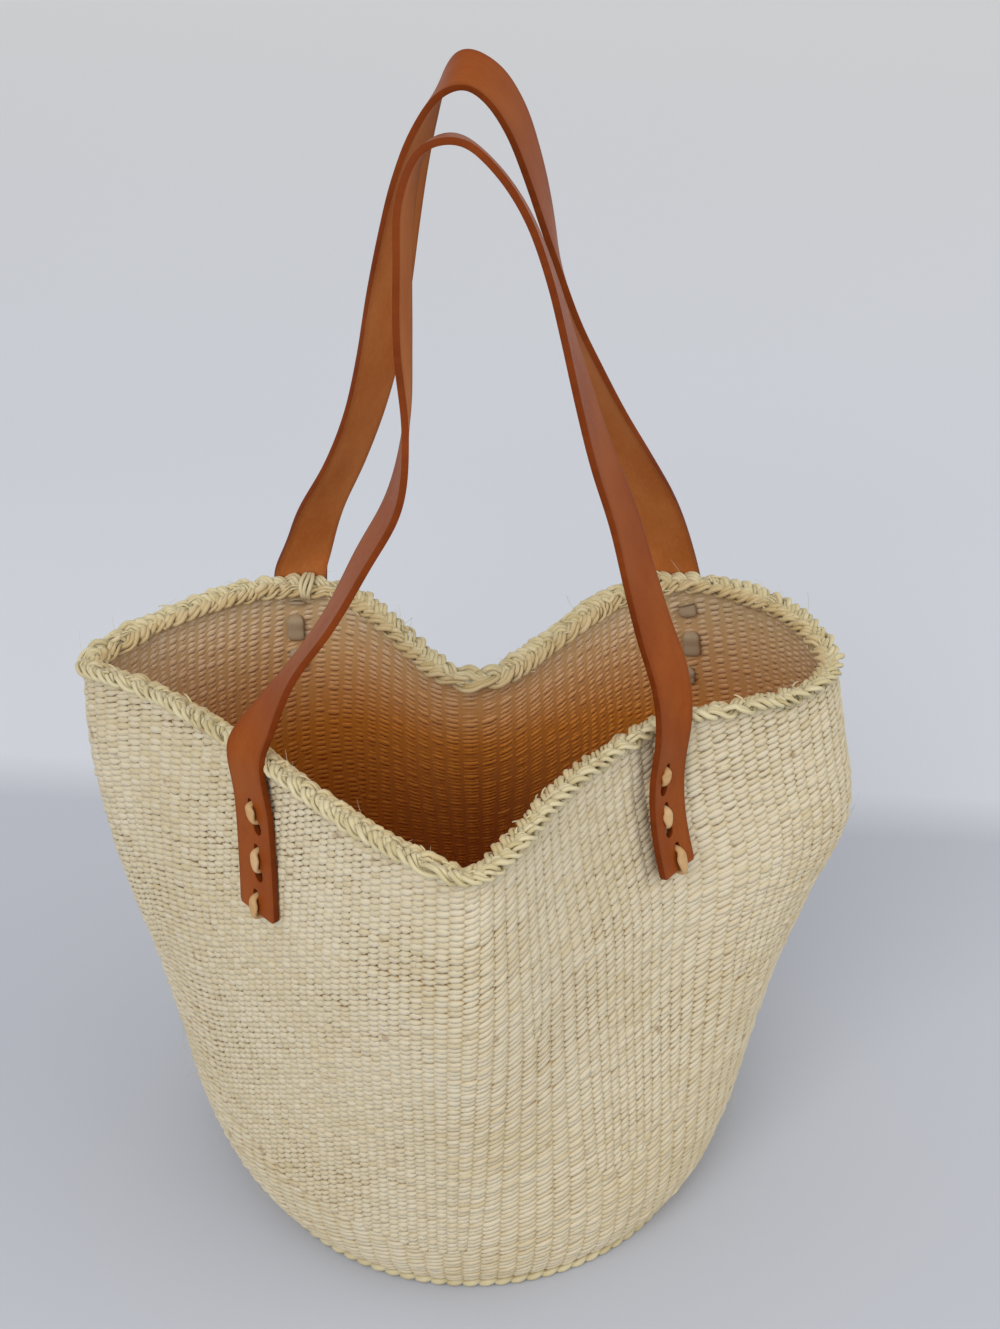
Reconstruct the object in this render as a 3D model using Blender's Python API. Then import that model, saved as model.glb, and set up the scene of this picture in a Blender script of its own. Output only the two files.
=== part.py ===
"""Round woven sisal basket with two leather strap handles laced to its wall.

Metres, +Z up. The origin is the middle of the base, on the surface that the basket
stands on. The front of the basket, with the pointed tip of its mouth, faces -Y.
"""
import math

import bmesh
import bpy
import numpy as np
from mathutils import Matrix, Vector

# Driving dimensions of the woven body, in metres
MM = 0.001
BASE_RADIUS = 115 * MM
WALL_HEIGHT = 293 * MM
MOUTH_HALF_WIDTH = 180 * MM
BELLY = 16 * MM
BELLY_DEPTH_share = 0.45
WALL_THICKNESS = 5 * MM
BASE_THICKNESS = 5 * MM
RIDGE_WIDTH = 10 * MM
RIDGE_HEIGHT = 6 * MM
RIDGE_SEAT_share = 0.35
PLAIT_WIDTH = 10 * MM
PLAIT_HEIGHT = 10 * MM
SEAM_GAP = 0.3 * MM

# Driving dimensions of the straps and their lacing
STRAP_WIDTH = 24 * MM
STRAP_THICKNESS = 3 * MM
STRAP_EASE = 0.45 * MM
STRAP_CORNER_share = 0.25
LACED_LENGTH = 77 * MM
BEND_LENGTH = 24 * MM
BEND_GAP = 0.6 * MM
FRONT_HALF_SPAN = 96 * MM
FRONT_RISE = 254 * MM
REAR_HALF_SPAN = 94 * MM
REAR_RISE = 265.5 * MM
LACE_WIDTH = 7 * MM
LACE_THICKNESS = 1.8 * MM
LACE_EASE = 0.6 * MM
LACE_TAIL = 9 * MM
REAR_LEFT_LACE_TAIL = 2.5 * MM
REAR_RIGHT_LACE_TAIL = 8 * MM
SLOT_WIDTH = 9 * MM
SLOT_HEIGHT = 4.6 * MM
OVERRUN = 4 * MM
STEP_IN_share = 2.0

# How finely the faceted solids follow the curves
WALL_STATIONS = 90
WALL_LEVELS = 17
PLAIT_SIDES = 8
SPLINE_STEPS = 12
END_STATIONS = 12
STRAP_STEPS = 2
LACE_BEND_STEPS = 3
ANGLE_NUDGE = math.radians(1.2)
LEVEL_NUDGE_share = 0.01
SHARP_ANGLE = math.radians(40)

# The places across a strap's width that its middle surface is worked out at
STRAP_COLUMNS = np.array([-1.0, 0.0, 1.0]) * (STRAP_WIDTH / 2 - STRAP_THICKNESS * STRAP_CORNER_share)

# Mouth outline from the front tip towards +X: x and y as shares of the mouth's half width,
# z as a share of the wall's height
MOUTH_shares = (
    (0.02, -0.875, 0.99), (0.12, -0.77, 1.0), (0.21, -0.60, 1.0), (0.33, -0.43, 1.0),
    (0.48, -0.285, 1.0), (0.66, -0.215, 1.0), (0.81, -0.15, 0.995), (0.925, -0.04, 0.99),
    (0.955, 0.10, 0.985), (0.89, 0.28, 0.99), (0.75, 0.41, 0.995), (0.56, 0.45, 1.0),
    (0.38, 0.37, 0.995), (0.22, 0.235, 0.97), (0.09, 0.14, 0.94), (0.0, 0.11, 0.935),
    (-0.09, 0.155, 0.945), (-0.20, 0.27, 0.975), (-0.32, 0.38, 0.995), (-0.47, 0.43, 1.0),
    (-0.66, 0.38, 1.0), (-0.87, 0.26, 0.985), (-1.01, 0.10, 0.975), (-0.985, 0.005, 0.985),
    (-0.84, -0.10, 0.995), (-0.68, -0.25, 1.0), (-0.53, -0.40, 1.0), (-0.40, -0.545, 1.0),
    (-0.26, -0.70, 1.0), (-0.10, -0.83, 0.995),
)
CLEFT_INDEX = 15

# Up the wall, as shares of its height: how far the section has turned from the round base
# into the mouth outline, and how much of the belly it shows, on the -X and the +X side
LEVEL_shares = (0.0, 0.04, 0.12, 0.25, 0.40, 0.55, 0.70, 0.85, 1.0)
LEFT_TURN_shares = (0.0, 0.06, 0.17, 0.31, 0.46, 0.62, 0.77, 0.90, 1.0)
RIGHT_TURN_shares = (0.0, 0.03, 0.08, 0.22, 0.42, 0.68, 0.92, 1.02, 1.0)
LEFT_BELLY_shares = (0.0, 0.66, 1.20, 1.20, 1.14, 1.13, 0.92, 0.54, 0.0)
RIGHT_BELLY_shares = (0.0, 0.62, 1.08, 1.20, 1.17, 1.13, 1.20, 0.48, 0.0)

# Each strap's loop from its left end over the top to its right end: across as a share of the
# half span, up as a share of the rise, and the angles in degrees of its width line, round Z
# from +X and up from level
FRONT_LOOP_shares = (
    (-1.00, 0.00, -50, 0), (-0.914, 0.036, -63, -4), (-0.753, 0.131, -90, 2),
    (-0.565, 0.224, -89, 1), (-0.402, 0.329, -85, -2), (-0.262, 0.417, -83, -4),
    (-0.192, 0.543, -90, -4), (-0.191, 0.678, -99, -3), (-0.177, 0.815, -100, 0),
    (-0.15, 0.919, -103, 4), (-0.073, 0.988, -97, 9), (0.059, 1.00, -92, 14),
    (0.206, 0.957, -89, 14), (0.331, 0.89, -89, 11), (0.438, 0.787, -91, 6),
    (0.507, 0.69, -94, 0), (0.574, 0.591, -100, -1), (0.656, 0.48, -107, -1),
    (0.748, 0.378, -113, -1), (0.821, 0.27, -119, -1), (0.892, 0.17, -124, -1),
    (0.965, 0.081, -128, -1), (1.00, 0.00, -140, 0),
)
REAR_LOOP_shares = (
    (-1.00, 0.00, 180, 0), (-0.955, 0.032, 191, -3), (-0.858, 0.142, 208, -4),
    (-0.725, 0.242, 217, -5), (-0.602, 0.362, 221, -4), (-0.522, 0.478, 219, -3),
    (-0.461, 0.604, 220, -5), (-0.405, 0.718, 227, -9), (-0.346, 0.821, 234, -13),
    (-0.268, 0.914, 244, -17), (-0.188, 0.974, 253, -22), (-0.108, 1.00, 260, -23),
    (0.012, 0.978, 261, -22), (0.119, 0.922, 257, -18), (0.207, 0.836, 258, -12),
    (0.28, 0.74, 263, -6), (0.345, 0.643, 274, -1), (0.399, 0.559, 286, 1),
    (0.487, 0.463, 301, 1), (0.603, 0.357, 315, 1), (0.733, 0.255, 330, 1),
    (0.858, 0.156, 344, 1), (0.955, 0.054, 355, 0), (1.00, 0.00, 352, 0),
)
FRONT_LEAN = math.radians(12)
REAR_LEAN = math.radians(-9.7)

# The line that each strap end is laced along, in degrees: its angle round the basket at the rim,
# how far that angle drifts by the strap's lower end, how far more it curls there, and how far
# the end is turned about the line, so that one edge stands off the wall
FRONT_LEFT_ANGLES = np.radians((222.0, 8.5, -3.0, 0.0))
FRONT_RIGHT_ANGLES = np.radians((320.8, -7.5, 4.5, -13.0))
REAR_LEFT_ANGLES = np.radians((130.0, -2.0, 0.0, 0.0))
REAR_RIGHT_ANGLES = np.radians((44.6, -3.5, 1.5, 0.0))

# The holes of each laced end, as shares of the laced length below the rim; the lace goes out
# through the first, in through the next, and at last over the strap's lower end
FRONT_LEFT_HOLE_shares = (0.29, 0.43, 0.568, 0.735, 0.872)
FRONT_RIGHT_HOLE_shares = (0.26, 0.39, 0.515, 0.683, 0.81)
REAR_LEFT_HOLE_shares = (0.175, 0.295, 0.455, 0.56, 0.68)
REAR_RIGHT_HOLE_shares = (0.30, 0.45, 0.605, 0.72, 0.86)
WRAP_share = 0.035

# How much of the laced length each strap end keeps: one is cut a little shorter
FULL_END_share = 1.0
SHORT_END_share = 0.96


def clear_scene():
    """Remove every object that the scene starts with."""
    for item in list(bpy.data.objects):
        bpy.data.objects.remove(item, do_unlink=True)


def make_material(name, colour, roughness):
    """A plain Principled surface."""
    material = bpy.data.materials.new(name)
    material.use_nodes = True
    shader = material.node_tree.nodes["Principled BSDF"]
    shader.inputs["Base Color"].default_value = (*colour, 1.0)
    shader.inputs["Roughness"].default_value = roughness
    shader.inputs["Metallic"].default_value = 0.0
    return material


def add_object(name, vertices, faces, material, origin=(0.0, 0.0, 0.0)):
    """Put vertices, given in world places, and faces into one object with this origin."""
    mesh = bpy.data.meshes.new(name)
    shifted = np.asarray(vertices, dtype=float) - np.asarray(origin, dtype=float)
    mesh.from_pydata(shifted.tolist(), [], faces)
    shape = bmesh.new()
    shape.from_mesh(mesh)
    bmesh.ops.recalc_face_normals(shape, faces=shape.faces)
    shape.to_mesh(mesh)
    shape.free()
    mesh.materials.append(material)
    item = bpy.data.objects.new(name, mesh)
    item.location = origin
    bpy.context.scene.collection.objects.link(item)
    return item


def closed_spline(points, steps):
    """A closed Catmull-Rom curve through the points, with this many steps between two."""
    before = np.roll(points, 1, axis=0)[:, None, :]
    here = points[:, None, :]
    after = np.roll(points, -1, axis=0)[:, None, :]
    beyond = np.roll(points, -2, axis=0)[:, None, :]
    t = (np.arange(steps) / steps)[None, :, None]
    curve = 0.5 * (
        2 * here
        + (after - before) * t
        + (2 * before - 5 * here + 4 * after - beyond) * t**2
        + (beyond - before + 3 * (here - after)) * t**3
    )
    return curve.reshape(-1, points.shape[1])


def open_spline(points, steps):
    """An open Catmull-Rom curve through the points, its ends carried on in a straight line."""
    first = 2 * points[:1] - points[1:2]
    last = 2 * points[-1:] - points[-2:-1]
    padded = np.vstack([first, points, last])
    before, here, after, beyond = (padded[k : len(padded) - 3 + k, None, :] for k in range(4))
    t = (np.arange(steps) / steps)[None, :, None]
    curve = 0.5 * (
        2 * here
        + (after - before) * t
        + (2 * before - 5 * here + 4 * after - beyond) * t**2
        + (beyond - before + 3 * (here - after)) * t**3
    )
    return np.vstack([curve.reshape(-1, points.shape[1]), points[-1:]])


def unit(vectors):
    """Vectors of length one, along the last axis."""
    return vectors / np.linalg.norm(vectors, axis=-1, keepdims=True)


def smooth_share(level, shares):
    """A smooth curve through a table of shares, read at a level of the wall."""
    x = np.array(LEVEL_shares)
    y = np.array(shares)
    slope = np.gradient(y, x)
    cell = np.clip(np.searchsorted(x, level) - 1, 0, len(x) - 2)
    width = x[cell + 1] - x[cell]
    u = (level - x[cell]) / width
    return (
        (2 * u**3 - 3 * u**2 + 1) * y[cell]
        + (u**3 - 2 * u**2 + u) * width * slope[cell]
        + (3 * u**2 - 2 * u**3) * y[cell + 1]
        + (u**3 - u**2) * width * slope[cell + 1]
    )


WALL_TOP = 1 - PLAIT_HEIGHT / WALL_HEIGHT
MOUTH_SIZE = np.array([MOUTH_HALF_WIDTH, MOUTH_HALF_WIDTH, WALL_HEIGHT])
MOUTH_CURVE = closed_spline(np.array(MOUTH_shares), SPLINE_STEPS) * MOUTH_SIZE
MOUTH_CURVE = np.vstack([MOUTH_CURVE, MOUTH_CURVE[:1]])
MOUTH_RUN = np.concatenate([[0.0], np.cumsum(np.linalg.norm(np.diff(MOUTH_CURVE, axis=0), axis=1))])
CLEFT_RUN = MOUTH_RUN[CLEFT_INDEX * SPLINE_STEPS]


def mouth_point(angle):
    """The mouth's point that the rib at this angle of the base ends at: ribs keep their even
    spacing along the rim, from the front tip to the cleft on either side."""
    turned = np.mod(angle + math.pi / 2, 2 * math.pi)
    right = turned / math.pi * CLEFT_RUN
    left = CLEFT_RUN + (turned / math.pi - 1) * (MOUTH_RUN[-1] - CLEFT_RUN)
    run = np.where(turned < math.pi, right, left)
    return np.stack([np.interp(run, MOUTH_RUN, MOUTH_CURVE[:, k]) for k in range(3)], axis=-1)


def wall_point(angle, level):
    """The wall's outer surface. Level runs from 0 at the base to 1 at the rim. The section
    turns from the base's circle into the mouth outline, and bellies out on the way. The dip
    of the rim grows with the square of the level, and is complete under the plait. The
    belly is fuller at the sides than in front and behind."""
    angle, level = np.broadcast_arrays(np.asarray(angle, float), np.asarray(level, float))
    rim = mouth_point(angle)
    right = (1 + np.cos(angle)) / 2
    left_turn = smooth_share(level, LEFT_TURN_shares)
    turn = left_turn + (smooth_share(level, RIGHT_TURN_shares) - left_turn) * right
    left_belly = smooth_share(level, LEFT_BELLY_shares)
    belly = left_belly + (smooth_share(level, RIGHT_BELLY_shares) - left_belly) * right
    way = np.stack([np.cos(angle), np.sin(angle)], axis=-1)
    swell = BELLY * belly[..., None] * np.array([1.0, BELLY_DEPTH_share])
    flat = way * (BASE_RADIUS * (1 - turn)[..., None] + swell) + rim[..., :2] * turn[..., None]
    dip = np.minimum(level / WALL_TOP, 1) ** 2
    height = WALL_HEIGHT * level + (rim[..., 2] - WALL_HEIGHT) * dip
    return np.concatenate([flat, height[..., None]], axis=-1)


def wall_frame(angle, level):
    """The wall's place, its direction round the basket, its direction down and its outward
    normal, all at one angle and level."""
    low = np.clip(level - LEVEL_NUDGE_share, 0, 1)
    high = np.clip(level + LEVEL_NUDGE_share, 0, 1)
    place = wall_point(angle, level)
    around = unit(wall_point(angle + ANGLE_NUDGE, level) - wall_point(angle - ANGLE_NUDGE, level))
    down = unit(wall_point(angle, low) - wall_point(angle, high))
    outward = unit(np.cross(down, around))
    return place, around, down, outward


def ring_faces(stations, sides):
    """Quads of a tube that closes both round its section and along its path."""
    faces = []
    for i in range(stations):
        for j in range(sides):
            k = (i + 1) % stations
            m = (j + 1) % sides
            faces.append((i * sides + j, k * sides + j, k * sides + m, i * sides + m))
    return faces


def tube_faces(stations, sides):
    """Quads of a tube that is open along its path, with a cap at each end."""
    faces = []
    for i in range(stations - 1):
        for j in range(sides):
            m = (j + 1) % sides
            faces.append((i * sides + j, (i + 1) * sides + j, (i + 1) * sides + m, i * sides + m))
    faces.append(tuple(reversed(range(sides))))
    faces.append(tuple(range((stations - 1) * sides, stations * sides)))
    return faces


WALL_ANGLES = np.linspace(0, 2 * math.pi, WALL_STATIONS, endpoint=False)
WALL_BOTTOM = (RIDGE_HEIGHT + SEAM_GAP) / WALL_HEIGHT


def build_wall(material):
    """The woven wall: one closed shell from the ridge row up to the plaited rim."""
    levels = WALL_BOTTOM + (WALL_TOP - WALL_BOTTOM) * np.linspace(0, 1, WALL_LEVELS)
    angle, level = np.meshgrid(WALL_ANGLES, levels, indexing="ij")
    place, around, down, outward = wall_frame(angle, level)
    flat = unit(outward * np.array([1.0, 1.0, 0.0]))
    inner = place - flat * WALL_THICKNESS
    section = np.concatenate([place, inner[:, ::-1]], axis=1)
    faces = ring_faces(WALL_STATIONS, 2 * WALL_LEVELS)
    return add_object("woven_wall", section.reshape(-1, 3), faces, material)


def build_plait(material):
    """The plaited rim: a thick rope round the wall's top edge, as wide as it is high."""
    place, around, down, outward = wall_frame(WALL_ANGLES, np.ones(WALL_STATIONS))
    flat = unit(outward * np.array([1.0, 1.0, 0.0]))
    half_height = (PLAIT_HEIGHT - SEAM_GAP) / 2
    centre = place - flat * WALL_THICKNESS / 2
    centre[:, 2] -= half_height
    phase = np.linspace(0, 2 * math.pi, PLAIT_SIDES, endpoint=False) + math.pi / PLAIT_SIDES
    wide = np.cos(phase)[None, :, None] * flat[:, None, :] * PLAIT_WIDTH / 2
    upright = np.array([0.0, 0.0, half_height / math.cos(math.pi / PLAIT_SIDES)])
    high = np.sin(phase)[None, :, None] * upright
    section = centre[:, None, :] + wide + high
    return add_object("plaited_rim", section.reshape(-1, 3), ring_faces(WALL_STATIONS, PLAIT_SIDES), material)


def build_base(material):
    """The woven base: a flat round, woven before the wall is turned up from it."""
    shape = bmesh.new()
    radius = BASE_RADIUS - RIDGE_WIDTH * (1 - RIDGE_SEAT_share) - SEAM_GAP
    bmesh.ops.create_circle(shape, cap_ends=True, radius=radius, segments=WALL_STATIONS)
    grown = bmesh.ops.extrude_face_region(shape, geom=list(shape.faces))
    lifted = [v for v in grown["geom"] if isinstance(v, bmesh.types.BMVert)]
    bmesh.ops.translate(shape, verts=lifted, vec=Vector((0, 0, BASE_THICKNESS)))
    bmesh.ops.recalc_face_normals(shape, faces=shape.faces)
    mesh = bpy.data.meshes.new("woven_base")
    shape.to_mesh(mesh)
    shape.free()
    mesh.materials.append(material)
    item = bpy.data.objects.new("woven_base", mesh)
    bpy.context.scene.collection.objects.link(item)
    return item


def build_ridge(material):
    """The ridge row: a thick twined row round the base's edge, where the wall turns up."""
    phase = np.linspace(0, 2 * math.pi, PLAIT_SIDES, endpoint=False) + math.pi / PLAIT_SIDES
    radius = BASE_RADIUS + RIDGE_WIDTH * (RIDGE_SEAT_share - 0.5 + np.cos(phase) / 2)
    height = RIDGE_HEIGHT / 2 + np.sin(phase) * RIDGE_HEIGHT / 2 / math.cos(math.pi / PLAIT_SIDES)
    x = np.cos(WALL_ANGLES)[:, None] * radius
    y = np.sin(WALL_ANGLES)[:, None] * radius
    z = np.broadcast_to(height, x.shape)
    section = np.stack([x, y, z], axis=-1)
    return add_object("base_ridge", section.reshape(-1, 3), ring_faces(WALL_STATIONS, PLAIT_SIDES), material)


def strap_proud(depth):
    """How far a strap end stands off the wall, by its depth below the rim: it passes outside
    the plait and then comes in to the wall."""
    below_plait = np.clip((depth / PLAIT_HEIGHT - 1) / STEP_IN_share, 0, 1)
    return (PLAIT_WIDTH - WALL_THICKNESS) / 2 * (1 - below_plait) ** 2


def line_angle(line, share):
    """The angle round the basket of a lacing line, at a share of its length below the rim."""
    return line[0] + line[1] * share + line[2] * share**2


def stand_off(line, across):
    """How far the surface of a turned strap end lifts at its lacing line, so that a place
    this far across it still clears the wall."""
    return abs(math.tan(line[3])) * across


def laced_end(line, kept_share, steps):
    """The middle surface of one strap end, from its lower end to the rim: a grid of places by
    station and by column. It hugs the wall across its width, or is turned from it."""
    share = np.linspace(kept_share, 0, steps)[:, None]
    level = 1 - share * LACED_LENGTH / WALL_HEIGHT
    middle = line_angle(line, share)
    ahead = wall_point(middle + ANGLE_NUDGE, level)
    behind = wall_point(middle - ANGLE_NUDGE, level)
    metres_per_radian = np.linalg.norm(ahead - behind, axis=-1) / (2 * ANGLE_NUDGE)
    place, around, down, outward = wall_frame(middle + STRAP_COLUMNS / metres_per_radian, level)
    lift = STRAP_EASE + STRAP_THICKNESS / 2 + strap_proud(share * LACED_LENGTH)
    lift = lift + stand_off(line, STRAP_COLUMNS[-1]) + math.tan(line[3]) * STRAP_COLUMNS
    return place + outward * lift[..., None]


def strap_sheet(table_shares, half_span, rise, lean, ends):
    """The middle surface of a whole strap, from its lower left end over the loop to its lower
    right end, and the two points at the rim that its loop swings about."""
    left, right = (laced_end(line, kept_share, END_STATIONS) for line, holes, tail, kept_share in ends)
    hinges = np.array([left[-1, 1], right[-1, 1]])
    axis = unit(hinges[1] - hinges[0])
    up = np.array([0.0, math.sin(lean), math.cos(lean)])
    up = unit(up - axis * np.dot(up, axis))
    table = np.array(table_shares, dtype=float)
    centre = hinges.mean(axis=0) + axis * table[:, :1] * half_span + up * table[:, 1:2] * rise
    turn, tilt = np.radians(table[:, 2]), np.radians(table[:, 3])
    flat = np.cos(tilt)
    width = np.stack([np.cos(turn) * flat, np.sin(turn) * flat, np.sin(tilt)], axis=-1)
    forward = unit(np.gradient(centre, axis=0))
    width = unit(width - forward * np.sum(width * forward, axis=1, keepdims=True))
    loop = centre[:, None, :] + width[:, None, :] * STRAP_COLUMNS[None, :, None]
    if np.dot(left[-1, 2] - left[-1, 0], width[0]) < 0:
        left = left[:, ::-1]
    if np.dot(right[-1, 2] - right[-1, 0], width[-1]) < 0:
        right = right[:, ::-1]
    sheet = np.concatenate([left, loop[1:-1], right[::-1]])
    return open_spline(sheet.reshape(len(sheet), -1), STRAP_STEPS).reshape(-1, len(STRAP_COLUMNS), 3), hinges


def distance_along(sheet):
    """How far each station of a strap's middle surface lies along its middle line."""
    steps = np.linalg.norm(np.diff(sheet[:, 1], axis=0), axis=1)
    return np.concatenate([[0.0], np.cumsum(steps)])


def strap_piece(name, sheet, start, stop, material, origin):
    """One length of a strap between two distances along it: a bar of even thickness about the
    middle surface, with its long corners eased."""
    run = distance_along(sheet)
    inside = run[(run > start + STRAP_EASE) & (run < stop - STRAP_EASE)]
    stations = np.concatenate([[start], inside, [stop]])
    forward = unit(np.gradient(sheet, axis=0))
    across = unit(np.gradient(sheet, axis=1))
    outward = unit(np.cross(across, forward))
    fields = []
    for field in (sheet, across, outward):
        flat = field.reshape(len(sheet), -1)
        read = np.stack([np.interp(stations, run, column) for column in flat.T], axis=-1)
        fields.append(read.reshape(-1, len(STRAP_COLUMNS), 3))
    grid, across, outward = fields
    ease = STRAP_THICKNESS * STRAP_CORNER_share
    half = STRAP_THICKNESS / 2
    rows = [grid[:, k] - outward[:, k] * half for k in range(3)]
    right = grid[:, 2] + across[:, 2] * ease
    rows += [right - outward[:, 2] * (half - ease), right + outward[:, 2] * (half - ease)]
    rows += [grid[:, k] + outward[:, k] * half for k in (2, 1, 0)]
    left = grid[:, 0] - across[:, 0] * ease
    rows += [left + outward[:, 0] * (half - ease), left - outward[:, 0] * (half - ease)]
    vertices = np.stack(rows, axis=1).reshape(-1, 3)
    return add_object(name, vertices, tube_faces(len(stations), len(rows)), material, origin)


def rounded_path(points, radius):
    """A polyline in a plane whose corners are rounded by arcs of about this radius."""
    result = [points[0]]
    for before, corner, after in zip(points[:-2], points[1:-1], points[2:]):
        back = unit(before - corner)
        ahead = unit(after - corner)
        reach = min(radius, np.linalg.norm(before - corner) / 2, np.linalg.norm(after - corner) / 2)
        first, last = corner + back * reach, corner + ahead * reach
        for t in np.linspace(0, 1, LACE_BEND_STEPS + 1):
            result.append(first * (1 - t) ** 2 + corner * 2 * t * (1 - t) + last * t**2)
    result.append(points[-1])
    return np.array(result)


def lace_places(line, depth, height):
    """Points of the lacing plane: depth below the rim along the wall, height out of it."""
    level = 1 - depth / WALL_HEIGHT
    place, around, down, outward = wall_frame(line_angle(line, depth / LACED_LENGTH), level)
    return place + outward * height[:, None], around, outward


def build_lace(name, line, hole_shares, tail, material):
    """One leather thong, sewn out and in through the strap and the wall, with a tail inside
    at either end."""
    over = STRAP_EASE + STRAP_THICKNESS + LACE_EASE + LACE_THICKNESS / 2
    over += stand_off(line, STRAP_COLUMNS[-1] + LACE_WIDTH / 2)
    under = -WALL_THICKNESS - LACE_EASE - LACE_THICKNESS / 2
    holes = np.array(hole_shares) * LACED_LENGTH
    path = [(holes[0] - tail, under)]
    for index, hole in enumerate(holes):
        top = over + strap_proud(hole)
        heights = (under, top) if index % 2 == 0 else (top, under)
        path.extend((hole, height) for height in heights)
    path.append((holes[-1] + LACE_TAIL, under))
    flat = rounded_path(np.array(path), LACE_THICKNESS)
    centre, around, outward = lace_places(line, flat[:, 0], flat[:, 1])
    forward = unit(np.gradient(centre, axis=0))
    side = unit(around - forward * np.sum(around * forward, axis=1, keepdims=True))
    thick = np.cross(forward, side)
    half, rise = LACE_WIDTH / 2, LACE_THICKNESS / 2
    outline = [(-half, -rise), (half, -rise), (half, rise), (-half, rise)]
    corners = [centre + side * x + thick * y for x, y in outline]
    vertices = np.stack(corners, axis=1).reshape(-1, 3)
    return add_object(name, vertices, tube_faces(len(flat), len(outline)), material)


def build_slots(name, line, hole_shares):
    """A cutter of square pegs, one for each hole of a laced end."""
    shape = bmesh.new()
    reach = STRAP_EASE + STRAP_THICKNESS + stand_off(line, STRAP_WIDTH)
    length = 2 * OVERRUN + reach + WALL_THICKNESS
    for share in hole_shares:
        depth = np.array([share * LACED_LENGTH])
        middle = np.array([(reach - WALL_THICKNESS) / 2])
        centre, around, outward = lace_places(line, depth, middle)
        down = np.cross(around[0], outward[0])
        grid = Matrix.Identity(4)
        for row in range(3):
            grid[row][0] = around[0][row] * SLOT_WIDTH
            grid[row][1] = down[row] * SLOT_HEIGHT
            grid[row][2] = outward[0][row] * length
            grid[row][3] = centre[0][row]
        bmesh.ops.create_cube(shape, size=1.0, matrix=grid)
    bmesh.ops.recalc_face_normals(shape, faces=shape.faces)
    mesh = bpy.data.meshes.new(name)
    shape.to_mesh(mesh)
    shape.free()
    cutter = bpy.data.objects.new(name, mesh)
    cutter.hide_render = True
    cutter.display_type = "WIRE"
    bpy.context.scene.collection.objects.link(cutter)
    return cutter


def cut_with(item, cutter):
    """Take the cutter's shape out of an object."""
    modifier = item.modifiers.new(cutter.name, "BOOLEAN")
    modifier.operation = "DIFFERENCE"
    modifier.object = cutter
    modifier.solver = "EXACT"


def build_strap(side, table, half_span, rise, lean, ends, wall, leather, lace_leather):
    """One strap: two laced ends, the short lengths that bend at the rim, the loop between
    them, and the lace of each end."""
    sheet, hinges = strap_sheet(table, half_span, rise, lean, ends)
    run = distance_along(sheet)
    at_left = run[(END_STATIONS - 1) * STRAP_STEPS]
    at_right = run[len(run) - 1 - (END_STATIONS - 1) * STRAP_STEPS]
    middle = hinges.mean(axis=0)
    lengths = (
        ("left_end", 0.0, at_left, (0.0, 0.0, 0.0)),
        ("left_bend", at_left + BEND_GAP, at_left + BEND_LENGTH, (0.0, 0.0, 0.0)),
        ("loop", at_left + BEND_LENGTH + BEND_GAP, at_right - BEND_LENGTH - BEND_GAP, middle),
        ("right_bend", at_right - BEND_LENGTH, at_right - BEND_GAP, (0.0, 0.0, 0.0)),
        ("right_end", at_right, run[-1], (0.0, 0.0, 0.0)),
    )
    made = {}
    for label, start, stop, origin in lengths:
        made[label] = strap_piece(f"{side}_strap_{label}", sheet, start, stop, leather, origin)
    for label, (line, holes, tail, kept_share) in zip(("left", "right"), ends):
        wall_holes = holes + (kept_share + WRAP_share,)
        build_lace(f"{side}_{label}_lace", line, wall_holes, tail, lace_leather)
        strap_slots = build_slots(f"{side}_{label}_strap_slots", line, holes)
        wall_slots = build_slots(f"{side}_{label}_wall_slots", line, wall_holes)
        cut_with(made[f"{label}_end"], strap_slots)
        cut_with(wall, wall_slots)
    return hinges


def smooth_all():
    """Shade round pieces smooth and keep their real corners sharp."""
    for item in bpy.data.objects:
        if item.type == "MESH" and not item.hide_render:
            item.data.shade_smooth()
            item.data.set_sharp_from_angle(angle=SHARP_ANGLE)


def main():
    clear_scene()
    sisal = make_material("sisal", (0.60, 0.54, 0.37), 0.85)
    rim_sisal = make_material("rim_sisal", (0.55, 0.49, 0.32), 0.85)
    leather = make_material("strap_leather", (0.30, 0.08, 0.02), 0.45)
    lace_leather = make_material("lace_leather", (0.60, 0.37, 0.20), 0.6)
    wall = build_wall(sisal)
    build_plait(rim_sisal)
    build_base(sisal)
    build_ridge(rim_sisal)
    front_ends = (
        (FRONT_LEFT_ANGLES, FRONT_LEFT_HOLE_shares, LACE_TAIL, FULL_END_share),
        (FRONT_RIGHT_ANGLES, FRONT_RIGHT_HOLE_shares, LACE_TAIL, SHORT_END_share),
    )
    rear_ends = (
        (REAR_LEFT_ANGLES, REAR_LEFT_HOLE_shares, REAR_LEFT_LACE_TAIL, FULL_END_share),
        (REAR_RIGHT_ANGLES, REAR_RIGHT_HOLE_shares, REAR_RIGHT_LACE_TAIL, FULL_END_share),
    )
    build_strap("front", FRONT_LOOP_shares, FRONT_HALF_SPAN, FRONT_RISE, FRONT_LEAN, front_ends,
                wall, leather, lace_leather)
    build_strap("rear", REAR_LOOP_shares, REAR_HALF_SPAN, REAR_RISE, REAR_LEAN, rear_ends,
                wall, leather, lace_leather)
    smooth_all()


main()
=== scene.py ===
"""A round basket twined from sisal cord, its mouth pressed in behind and drawn to a tip in
front, with two leather straps laced to its wall. Metres, +Z up, the front faces -Y."""
import math

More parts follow.
